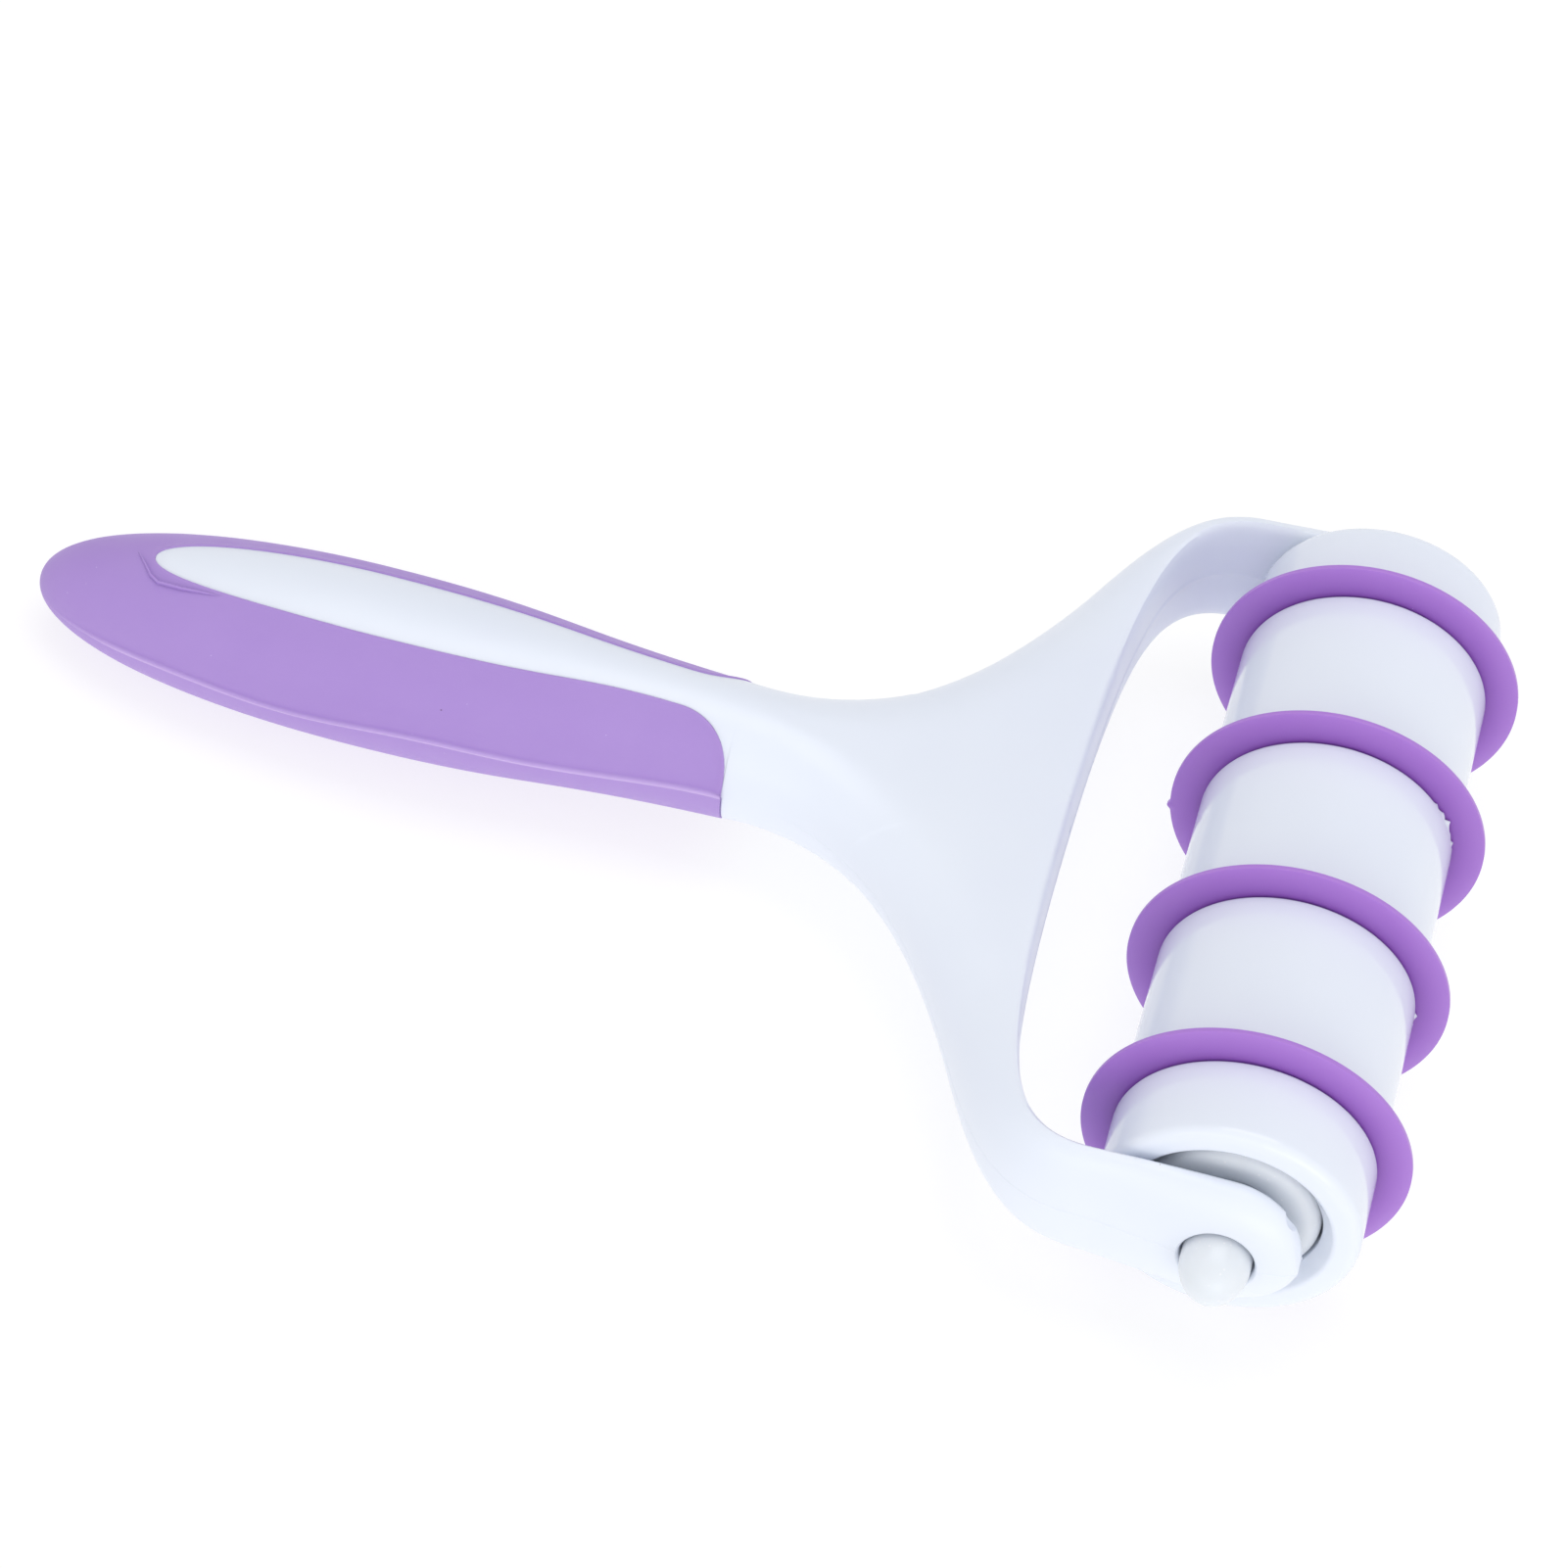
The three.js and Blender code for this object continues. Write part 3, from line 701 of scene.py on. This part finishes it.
def fold_grid():
    """A slender fold of the soft skin beside the strip's rounded end, on the near side."""
    spots = at_share(np.array(FOLD_PATH) + (butt_x + STRIP_MARGIN, 0), np.linspace(0, 1, FOLD_ROWS + 1))
    turns = np.arccos(np.clip(spots[:, 1] / half_width(spots[:, 0]), -1, 1))
    taper = FOLD_RADIUS * np.sqrt(np.sin(np.linspace(0, math.pi, FOLD_ROWS + 1)))
    ways = np.gradient(spots, axis=0)
    ways /= np.linalg.norm(ways, axis=1, keepdims=True)
    angle = np.linspace(0, 2 * math.pi, FOLD_SIDES + 1)
    middle = section_point(spots[:, 0], turns)
    raised = section_point(spots[:, 0], turns, sink=-1)
    up = raised - middle
    across = np.stack([-ways[:, 1], ways[:, 0], 0 * turns], -1)
    ring = across[:, None] * np.cos(angle)[:, None] + FOLD_RISE * up[:, None] * np.sin(angle)[:, None]
    return middle[:, None] + taper[:, None, None] * ring


def mark_painted_light(piece):
    """Marks each point of the grip with painted light: a painted highlight, most on the bead, and a little painted
    bounce light from the floor below it.
    """
    x, y, z = np.array([to_tool @ spot.co for spot in piece.data.vertices]).T
    up = (z + droop(x)) / np.maximum(half_height(x), LEAST_HALF)
    across = np.abs(y) / np.maximum(half_width(x), LEAST_HALF)
    below = (flash_line(x) - np.arctan2(up, across)) * half_width(x) / GRIP_LIP_WIDTH
    # Painted highlight on the bead, fading into painted bounce light below it
    painted_light = np.maximum(np.exp(-((below - 1) ** 2)), BOUNCE_LIGHT_BELOW * smoothstep(below, 0, BOUNCE_LIGHT_START))
    marks = piece.data.attributes.new(PAINTED_LIGHT_MARK, "FLOAT", "POINT")
    marks.data.foreach_set("value", painted_light * smoothstep(x, butt_x, butt_x + STRIP_MARGIN))


def grip_piece(material):
    """The soft skin: its outside, its lining, the walls between them and a fold."""
    stations, edge = strip_stations(0)
    stations[-1, 0] = grip_front_x
    seam = np.arccos(np.clip(stations[:, 1] / half_width(stations[:, 0]), 0, 1))
    butt_share = np.linspace(0, 1, BUTT_ROWS)[:-1] ** BUTT_CROWDING
    lead_in = edge[0, 0] - SEAM_ROUND
    butt_places = mix(butt_x, lead_in, butt_share)
    near_places = mix(lead_in, edge[0, 0], 1 - (1 - np.linspace(0, 1, END_ROWS + 1)[:-1]) ** 2)
    before = np.concatenate([butt_places, near_places])
    x = np.concatenate([before, stations[:, 0]])[:, None]
    seam = np.concatenate([np.full(len(before), QUARTER), seam])[:, None]
    parting = flash_line(x)
    upper = mix(seam, parting, (1 - np.cos(np.linspace(0, math.pi, GRIP_COLUMNS + 1))[None]) / 2)
    lower = mix(parting, -QUARTER, crowded_shares(GRIP_COLUMNS)[None])
    turns = np.concatenate([upper, lower[:, 1:]], axis=1)
    spots = section_point(x, turns)
    beside = distance_to_path(spots[..., :2], edge)
    lip = SEAM_LIP * (1 - smoothstep(beside, 0, SEAM_LIP_WIDTH))
    sink = np.where(turns > parting, edge_drop(beside) - lip, 0)
    below = (parting - turns) * half_width(x)
    bead = GRIP_LIP * np.exp(-((below / GRIP_LIP_WIDTH - 1) ** 2))
    groove = GRIP_GROOVE * np.exp(-((below / GRIP_LIP_WIDTH + 1) ** 2))
    ledge = GRIP_STEP * smoothstep(below, 0, GRIP_LIP_WIDTH) * np.cos(turns) ** GRIP_STEP_FALL
    step = (bead - groove + ledge) * smoothstep(x, butt_x, butt_x + STRIP_MARGIN)
    skin = section_point(x, turns, sink=sink - step)
    skin[:, -1, 1] = 0
    skin[:len(before) + 1, 0, 1] = 0
    skin[0] = skin[0, 0]
    lining_x = np.maximum(x, butt_x + GRIP_WALL)
    lining = section_point(lining_x, turns, GRIP_WALL)
    lining[:, -1, 1] = 0
    lining[:len(before) + 1, 0, 1] = 0
    lining[lining_x[:, 0] <= butt_x + GRIP_WALL] = (butt_x + GRIP_WALL, 0, -droop(butt_x + GRIP_WALL))
    open_rows = slice(len(before), None)
    wall = np.stack([skin[open_rows, 0], lining[open_rows, 0]], 1)
    cap = np.stack([skin[-1], lining[-1]], 0)
    grids = [half for grid in (skin, lining, wall, cap) for half in both_sides(grid)]
    grids.append(fold_grid())
    piece = piece_from("handle_grip_skin", grids, "handle", material, ["handle_grip"])
    mark_painted_light(piece)
    return piece


# Turned pieces of the roller


def filleted(profile):
    """A profile of (radius, place, fillet) with its corners rounded, closed on itself."""
    spots = np.array([corner[:2] for corner in profile], float)
    outline = []
    for index, spot in enumerate(spots):
        fillet = profile[index][2]
        before = spots[index - 1] - spot
        after = spots[(index + 1) % len(spots)] - spot
        if fillet == 0:
            outline.append(spot)
            continue
        before /= np.linalg.norm(before)
        after /= np.linalg.norm(after)
        half_angle = math.acos(np.clip(before @ after, -1, 1)) / 2
        reach = fillet / math.tan(half_angle)
        middle = (before + after) / np.linalg.norm(before + after)
        centre = spot + middle * fillet / math.sin(half_angle)
        first = spot + before * reach - centre
        last = spot + after * reach - centre
        sweep = math.acos(np.clip(first @ last / fillet**2, -1, 1))
        hold = min(fillet, reach)
        outline.append(spot + before * (reach + hold * FILLET_HOLD))
        for step in np.linspace(0, 1, FILLET_STEPS + 1):
            weights = np.sin((1 - step) * sweep), np.sin(step * sweep)
            outline.append(centre + (first * weights[0] + last * weights[1]) / math.sin(sweep))
        outline.append(spot + after * (reach + hold * FILLET_HOLD))
    return [tuple(spot) for spot in outline]


def lathe_grid(profile, sides=LATHE_SIDES):
    """A profile of (radius, place along the axis) turned about the roller's axis."""
    radius, place = np.array(profile, float).T
    angle = np.linspace(0, 2 * math.pi, sides + 1)
    return np.stack([
        radius[:, None] * np.cos(angle),
        np.broadcast_to(place[:, None], (len(radius), sides + 1)),
        radius[:, None] * np.sin(angle),
    ], -1)


def ring_grid(profile, sides=LATHE_SIDES):
    outline = filleted(profile)
    return lathe_grid(outline + outline[:1], sides)


def with_flash(grid, start, end):
    """A spacer's grid with ragged flash round part of its far edge."""
    angle = np.arctan2(grid[0, :, 2], grid[0, :, 0])
    radius = np.linalg.norm(grid[..., [0, 2]], axis=-1)
    window = smoothstep(angle, start, start + FLASH_FADE) * (1 - smoothstep(angle, end - FLASH_FADE, end))
    ragged = FLASH_HEIGHT * window * np.random.default_rng(FLASH_SEED).random(len(angle)) ** 2
    ragged[-1] = ragged[0]
    lip = smoothstep(grid[..., 1], spacer_length / 2 - SPACER_EDGE, spacer_length / 2)
    lip *= radius > SPACER_RADIUS - SPACER_EDGE
    raised = grid.copy()
    raised[..., [0, 2]] *= (1 + ragged * lip / radius)[..., None]
    return raised


def with_nub(grid):
    """A disc's grid with a small nub left on its rim by the mould's gate."""
    angle = np.arctan2(grid[0, :, 2], grid[0, :, 0])
    radius = np.linalg.norm(grid[..., [0, 2]], axis=-1)
    away = np.abs(np.angle(np.exp(1j * (angle - NUB_ANGLE)))) * DISC_RADIUS
    height = NUB_HEIGHT * np.exp(-((away / NUB_WIDTH) ** 2)) * (radius > DISC_RADIUS - DISC_EDGE)
    raised = grid.copy()
    raised[..., [0, 2]] *= (1 + height / radius)[..., None]
    return raised


def turned_piece(name, grid, place, mirrored, material, node):
    grid = grid * np.array([1, -1 if mirrored else 1, 1]) + np.array([0, place + roller_shift, 0])
    return piece_from(name, [grid], "roller", material, [node])


def disc_grid(sides=LATHE_SIDES):
    """A flat disc whose faces curve in towards a narrow rim, as a lens does."""
    half = DISC_THICKNESS / 2
    bevel = [
        (DISC_RADIUS - DISC_BEVEL * (1 - share), mix(half, DISC_EDGE / 2, share**2), 0)
        for share in np.linspace(0, 1, BEVEL_STEPS + 1)[:-1]
    ]
    face = [(shaft_bore, half, 0), *bevel, (DISC_RADIUS, DISC_EDGE / 2, RIM_ROUND)]
    return ring_grid([(r, -place, fillet) for r, place, fillet in face] + face[::-1], sides)


def spacer_grid():
    half = spacer_length / 2
    web = SPACER_WEB / 2
    return ring_grid([
        (shaft_bore, -half, 0),
        (sleeve_radius, -half, SLEEVE_EDGE),
        (sleeve_radius, -web, WEB_FILLET),
        (wall_radius, -web, WEB_FILLET),
        (wall_radius, -half, SLEEVE_EDGE),
        (SPACER_RADIUS, -half, SPACER_EDGE),
        (SPACER_RADIUS, FLASH_WIDTH - half, 0),
        (SPACER_RADIUS, half - FLASH_WIDTH, 0),
        (SPACER_RADIUS, half, SPACER_EDGE),
        (wall_radius, half, SLEEVE_EDGE),
        (wall_radius, web, WEB_FILLET),
        (sleeve_radius, web, WEB_FILLET),
        (sleeve_radius, half, SLEEVE_EDGE),
        (shaft_bore, half, 0),
    ])


def end_spacer_grid():
    return ring_grid([
        (shaft_bore, end_start, 0),
        (sleeve_radius, end_start, SLEEVE_EDGE),
        (sleeve_radius, end_web, WEB_FILLET),
        (wall_radius, end_web, WEB_FILLET),
        (wall_radius, end_start, SLEEVE_EDGE),
        (SPACER_RADIUS, end_start, SPACER_EDGE),
        (SPACER_RADIUS, end_face, END_ROUND),
        (recess_radius, end_face, RECESS_EDGE),
        (bowl_radius, end_face - BOWL_DEPTH, BOWL_ROUND),
        (bowl_radius, recess_floor, BOWL_FOOT),
        (shaft_bore, recess_floor, 0),
    ])


def hub_grid():
    """A spigot in the core, a flange in the recess and a round-nosed trunnion through the arm."""
    flange = filleted([
        (0, flange_start - SPIGOT_LENGTH, 0),
        (TRUNNION_RADIUS, flange_start - SPIGOT_LENGTH, SPIGOT_ROUND),
        (TRUNNION_RADIUS, flange_start, 0),
        (flange_radius, flange_start, FLANGE_EDGE),
        (flange_radius, crest, CREST_ROUND),
        (flange_radius - CREST_WIDTH, crest, CREST_ROUND),
        (flange_radius - CREST_WIDTH - CREST_FALL, crest - CREST_FALL, FALL_ROUND),
        (TRUNNION_RADIUS, crest - CREST_FALL, TRUNNION_FOOT),
        (TRUNNION_RADIUS, trunnion_tip - NOSE_LENGTH, 0),
    ])
    nose = [
        (TRUNNION_RADIUS * math.cos(turn), trunnion_tip - NOSE_LENGTH * (1 - math.sin(turn)))
        for turn in np.linspace(0, QUARTER, NOSE_STEPS + 1)[1:]
    ]
    return lathe_grid(flange + nose)


def add_roller(white, purple, natural):
    """The discs and spacers in turn from the near end, then the end spacers and hubs."""
    for disc in range(DISC_COUNT):
        place = disc * DISC_PITCH - last_disc
        node = f"cutting_disc_{disc + 1}"
        grid = with_nub(disc_grid(NUB_SIDES)) if disc + 1 == NUB_DISC else disc_grid()
        turned_piece(f"{node}_skin", grid, place, False, purple, node)
        if disc > 0:
            node = f"spacer_{disc}"
            between = place - DISC_PITCH / 2
            grid = with_flash(spacer_grid(), *FLASH_ANGLES[disc]) if disc in FLASH_ANGLES else spacer_grid()
            turned_piece(f"{node}_skin", grid, between, False, white, node)
    for end, mirrored in (("near", True), ("far", False)):
        node = f"end_spacer_{end}"
        turned_piece(f"{node}_skin", end_spacer_grid(), 0, mirrored, white, node)
        node = f"end_hub_{end}"
        turned_piece(f"{node}_skin", hub_grid(), 0, mirrored, natural, node)


# Finishes

# Colours, as red, green and blue in linear light
WHITE_SHADE = (0.79, 0.835, 0.945)
WHITE_TINT = (0.82, 0.865, 0.965)
WHITE_SPECK = (0.55, 0.54, 0.56)
GRIP_SHADE = (0.385, 0.245, 0.63)
GRIP_TINT = (0.42, 0.275, 0.66)
# A lighter purple painted onto the grip as a highlight on the bead and as bounce light below it
GRIP_PAINTED_LIGHT = (0.6, 0.45, 0.8)
GRIP_DUST = (0.55, 0.42, 0.75)
GRIP_SPECK = (0.2, 0.11, 0.3)
# The disc's colour is darkened into painted shade next to the spacers and lightened into painted light at the rim
DISC_PAINTED_SHADE = (0.27, 0.095, 0.47)
DISC_BODY = (0.325, 0.13, 0.55)
DISC_PAINTED_RIM_LIGHT = (0.42, 0.2, 0.67)
DISC_CLOUD = (0.36, 0.15, 0.6)
DISC_SPECK = (0.6, 0.45, 0.85)
NATURAL_SHADE = (0.74, 0.78, 0.83)
NATURAL_TINT = (0.78, 0.81, 0.86)
NATURAL_SPECK = (0.82, 0.84, 0.875)

# The range that most of a noise pattern lies in
NOISE_LOW = 0.3
NOISE_HIGH = 0.7


class Finish:
    """A principled material and short ways to add nodes to it."""

    def __init__(self, name, **values):
        self.material = bpy.data.materials.new(name)
        self.material.use_nodes = True
        self.nodes = self.material.node_tree.nodes
        self.links = self.material.node_tree.links
        self.shader = self.nodes["Principled BSDF"]
        for socket, value in values.items():
            self.shader.inputs[socket.replace("_", " ")].default_value = value
        self.coordinates = self.nodes.new("ShaderNodeTexCoord").outputs["Object"]

    def noise(self, scale, detail=2):
        node = self.nodes.new("ShaderNodeTexNoise")
        node.inputs["Scale"].default_value = scale
        node.inputs["Detail"].default_value = detail
        self.links.new(self.coordinates, node.inputs["Vector"])
        return node.outputs["Fac"]

    def from_axis(self, near, far):
        """The distance from the roller's axis, as 0 at the near and 1 at the far radius."""
        flat = self.nodes.new("ShaderNodeMapping")
        flat.inputs["Location"].default_value = (-hinge.x, 0, -hinge.z)
        flat.inputs["Scale"].default_value = (1, 0, 1)
        self.links.new(self.coordinates, flat.inputs["Vector"])
        length = self.nodes.new("ShaderNodeVectorMath")
        length.operation = "LENGTH"
        self.links.new(flat.outputs["Vector"], length.inputs[0])
        share = self.nodes.new("ShaderNodeMapRange")
        share.inputs["From Min"].default_value = near * MM
        share.inputs["From Max"].default_value = far * MM
        self.links.new(length.outputs["Value"], share.inputs["Value"])
        return share.outputs["Result"]

    def ramp(self, source, *stops):
        """A colour ramp through (place, colour) stops."""
        node = self.nodes.new("ShaderNodeValToRGB")
        self.links.new(source, node.inputs["Fac"])
        elements = node.color_ramp.elements
        while len(elements) < len(stops):
            elements.new(1)
        for element, (place, colour) in zip(elements, stops):
            element.position = place
            element.color = (*colour, 1)
        return node.outputs["Color"]

    def levels(self, source, low, high):
        """A noise pattern turned into numbers from low to high."""
        node = self.nodes.new("ShaderNodeMapRange")
        node.inputs["From Min"].default_value = NOISE_LOW
        node.inputs["From Max"].default_value = NOISE_HIGH
        node.inputs["To Min"].default_value = low
        node.inputs["To Max"].default_value = high
        self.links.new(source, node.inputs["Value"])
        return node.outputs["Result"]

    def blended(self, first, second, factor):
        """A mix of two colours, each a plain colour or another node's output."""
        node = self.nodes.new("ShaderNodeMix")
        node.data_type = "RGBA"
        self.links.new(factor, node.inputs["Factor"])
        for socket, value in ((node.inputs[6], first), (node.inputs[7], second)):
            if isinstance(value, tuple):
                socket.default_value = (*value, 1)
            else:
                self.links.new(value, socket)
        return node.outputs[2]

    def mark(self, name):
        """A number that the mesh holds at each of its points."""
        node = self.nodes.new("ShaderNodeAttribute")
        node.attribute_name = name
        return node.outputs["Fac"]

    def specks(self, scale, size):
        """A few round specks scattered over the surface, as 1 on a speck and 0 beside it."""
        node = self.nodes.new("ShaderNodeTexVoronoi")
        node.inputs["Scale"].default_value = scale
        node.inputs["Randomness"].default_value = 1
        self.links.new(self.coordinates, node.inputs["Vector"])
        compare = self.nodes.new("ShaderNodeMath")
        compare.operation = "LESS_THAN"
        compare.inputs[1].default_value = size
        self.links.new(node.outputs["Distance"], compare.inputs[0])
        return compare.outputs["Value"]

    def bump(self, source, height):
        node = self.nodes.new("ShaderNodeBump")
        node.inputs["Distance"].default_value = height * MM
        self.links.new(source, node.inputs["Height"])
        self.links.new(node.outputs["Normal"], self.shader.inputs["Normal"])

    def paint(self, socket, source):
        self.links.new(source, self.shader.inputs[socket])


def white_plastic(name, smoothest, roughest):
    finish = Finish(name, IOR=1.46, Subsurface_Weight=0.18, Subsurface_Scale=0.002)
    finish.shader.inputs["Subsurface Radius"].default_value = (1, 1, 1)
    tone = finish.ramp(finish.noise(scale=35), (NOISE_LOW, WHITE_SHADE), (NOISE_HIGH, WHITE_TINT))
    finish.paint("Base Color", finish.blended(tone, WHITE_SPECK, finish.specks(scale=110, size=0.012)))
    finish.paint("Roughness", finish.levels(finish.noise(scale=180, detail=4), smoothest, roughest))
    finish.bump(finish.noise(scale=420), height=0.006)
    return finish.material


def soft_grip():
    finish = Finish("soft_grip", IOR=1.48, Subsurface_Weight=0.12, Subsurface_Scale=0.0015)
    finish.shader.inputs["Subsurface Radius"].default_value = (1, 0.7, 1)
    tone = finish.ramp(finish.noise(scale=28, detail=4), (NOISE_LOW, GRIP_SHADE), (NOISE_HIGH, GRIP_TINT))
    # Painted light: the lighter purple is painted on as a highlight along the bead and as floor bounce light below
    # it
    skin = finish.blended(tone, GRIP_PAINTED_LIGHT, finish.mark(PAINTED_LIGHT_MARK))
    dusty = finish.blended(skin, GRIP_DUST, finish.specks(scale=420, size=0.03))
    finish.paint("Base Color", finish.blended(dusty, GRIP_SPECK, finish.specks(scale=170, size=0.02)))
    finish.paint("Roughness", finish.levels(finish.noise(scale=260, detail=4), low=0.5, high=0.62))
    finish.bump(finish.noise(scale=2600, detail=3), height=0.02)
    return finish.material


def purple_plastic():
    finish = Finish("purple_plastic", IOR=1.5, Subsurface_Weight=0.08, Subsurface_Scale=0.001)
    finish.shader.inputs["Subsurface Radius"].default_value = (1, 0.6, 1)
    # Painted shade darkens the disc next to the spacers, and painted light lightens it towards the thin rim
    outwards = finish.from_axis(SPACER_RADIUS, DISC_RADIUS)
    tone = finish.ramp(outwards, (0, DISC_PAINTED_SHADE), (0.35, DISC_BODY), (1, DISC_PAINTED_RIM_LIGHT))
    clouds = finish.levels(finish.noise(scale=40, detail=4), low=0, high=0.3)
    cloudy = finish.blended(tone, DISC_CLOUD, clouds)
    finish.paint("Base Color", finish.blended(cloudy, DISC_SPECK, finish.specks(scale=260, size=0.02)))
    finish.paint("Roughness", finish.levels(finish.noise(scale=200, detail=4), low=0.3, high=0.38))
    finish.bump(finish.noise(scale=500, detail=3), height=0.015)
    return finish.material


def natural_plastic():
    finish = Finish("natural_plastic", IOR=1.5, Subsurface_Weight=0.6, Subsurface_Scale=0.004)
    finish.shader.inputs["Subsurface Radius"].default_value = (1, 1, 1)
    tone = finish.ramp(finish.noise(scale=120, detail=3), (0.35, NATURAL_SHADE), (0.65, NATURAL_TINT))
    finish.paint("Base Color", finish.blended(tone, NATURAL_SPECK, finish.specks(scale=900, size=0.12)))
    finish.paint("Roughness", finish.levels(finish.noise(scale=300, detail=4), low=0.18, high=0.26))
    finish.bump(finish.noise(scale=700, detail=3), height=0.015)
    return finish.material


# Studio, in metres in the row frame

# The floor, and the light from all round, which is stronger from the front than from behind
FLOOR_REACH = 4.0
FLOOR_TONE = 0.35
FLOOR_GLOW = 0.7
FRONT = (0.35, -0.9, 0.25)
AMBIENT_FRONT = 0.89
AMBIENT_BEHIND = 0.48

# Softboxes: where each stands, its width and height, and its watts
SOFTBOXES = {
    "key": ((0.5, -0.87, 0.25), (0.7, 0.4), 1.4),
    "front": ((-0.3, -1.0, 0.3), (0.8, 0.4), 0.65),
    "top": ((0, 0.15, 1.0), (0.8, 0.6), 2.5),
}

# The camera, as fitted to the photo
CAMERA_AIM = Vector((0.00615, -0.00695, 0.01905))
CAMERA_DISTANCE = 0.59332
CAMERA_ELEVATION = math.radians(48.04)
CAMERA_HEADING = math.radians(3.875)
CAMERA_ROLL = math.radians(14.57)
FOCAL_PIXELS = 5142.4
IMAGE_PIXELS = 1601
SENSOR = 36


def add_camera():
    data = bpy.data.cameras.new("photo_camera")
    data.sensor_width = SENSOR
    data.lens = FOCAL_PIXELS / IMAGE_PIXELS * SENSOR
    camera = bpy.data.objects.new("photo_camera", data)
    bpy.context.scene.collection.objects.link(camera)
    turn = (
        Matrix.Rotation(CAMERA_HEADING, 4, "Z")
        @ Matrix.Rotation(QUARTER - CAMERA_ELEVATION, 4, "X")
        @ Matrix.Rotation(CAMERA_ROLL, 4, "Z")
    )
    back = turn @ Vector((0, 0, CAMERA_DISTANCE))
    camera.matrix_world = Matrix.Translation(CAMERA_AIM + back) @ turn
    bpy.context.scene.camera = camera


def add_floor():
    mesh = bpy.data.meshes.new("floor")
    reach = FLOOR_REACH / 2
    corners = [(-reach, -reach, 0), (reach, -reach, 0), (reach, reach, 0), (-reach, reach, 0)]
    mesh.from_pydata(corners, [], [(0, 1, 2, 3)])
    floor = bpy.data.objects.new("floor", mesh)
    bpy.context.scene.collection.objects.link(floor)
    finish = Finish("floor", Roughness=1.0, Specular_IOR_Level=0.0)
    finish.shader.inputs["Base Color"].default_value = (FLOOR_TONE, FLOOR_TONE, FLOOR_TONE, 1)
    finish.shader.inputs["Emission Color"].default_value = (1, 1, 1, 1)
    finish.shader.inputs["Emission Strength"].default_value = FLOOR_GLOW
    mesh.materials.append(finish.material)


def add_softbox(name, place, size, watts):
    """A soft white lamp that faces the middle of the floor."""
    data = bpy.data.lights.new(name, "AREA")
    data.shape = "RECTANGLE"
    data.size, data.size_y = size
    data.energy = watts
    lamp = bpy.data.objects.new(name, data)
    bpy.context.scene.collection.objects.link(lamp)
    lamp.location = place
    lamp.rotation_euler = (Vector() - Vector(place)).to_track_quat("-Z", "Y").to_euler()


def add_world():
    """Soft light from all round, stronger in front, before a backdrop that is seen as white."""
    world = bpy.data.worlds.new("studio")
    world.use_nodes = True
    nodes = world.node_tree.nodes
    links = world.node_tree.links
    background = nodes["Background"]
    background.inputs["Color"].default_value = (1, 1, 1, 1)
    towards_front = nodes.new("ShaderNodeVectorMath")
    towards_front.operation = "DOT_PRODUCT"
    towards_front.inputs[1].default_value = FRONT
    links.new(nodes.new("ShaderNodeTexCoord").outputs["Generated"], towards_front.inputs[0])
    ambient = nodes.new("ShaderNodeMapRange")
    ambient.inputs["From Min"].default_value = -1
    ambient.inputs["To Min"].default_value = AMBIENT_BEHIND
    ambient.inputs["To Max"].default_value = AMBIENT_FRONT
    links.new(towards_front.outputs["Value"], ambient.inputs["Value"])
    level = ambient.outputs["Result"]
    path = nodes.new("ShaderNodeLightPath")
    for ray in ("Is Camera Ray", "Is Glossy Ray", "Is Transmission Ray"):
        white_seen = nodes.new("ShaderNodeMix")
        links.new(path.outputs[ray], white_seen.inputs["Factor"])
        links.new(level, white_seen.inputs["A"])
        white_seen.inputs["B"].default_value = 1
        level = white_seen.outputs["Result"]
    links.new(level, background.inputs["Strength"])
    bpy.context.scene.world = world


def add_studio():
    add_camera()
    add_floor()
    add_world()
    for name, (place, size, watts) in SOFTBOXES.items():
        add_softbox(name, place, size, watts)
    bpy.context.scene.view_settings.view_transform = "Standard"


# Assembly

natural = natural_plastic()
frame_piece(white_plastic("white_plastic_satin", smoothest=0.28, roughest=0.36))
grip_piece(soft_grip())
glossy = white_plastic("white_plastic_gloss", smoothest=0.07, roughest=0.12)
add_roller(glossy, purple_plastic(), natural)
for slot in frame["nodes"]["roller_core"].material_slots:
    slot.material = natural
add_studio()
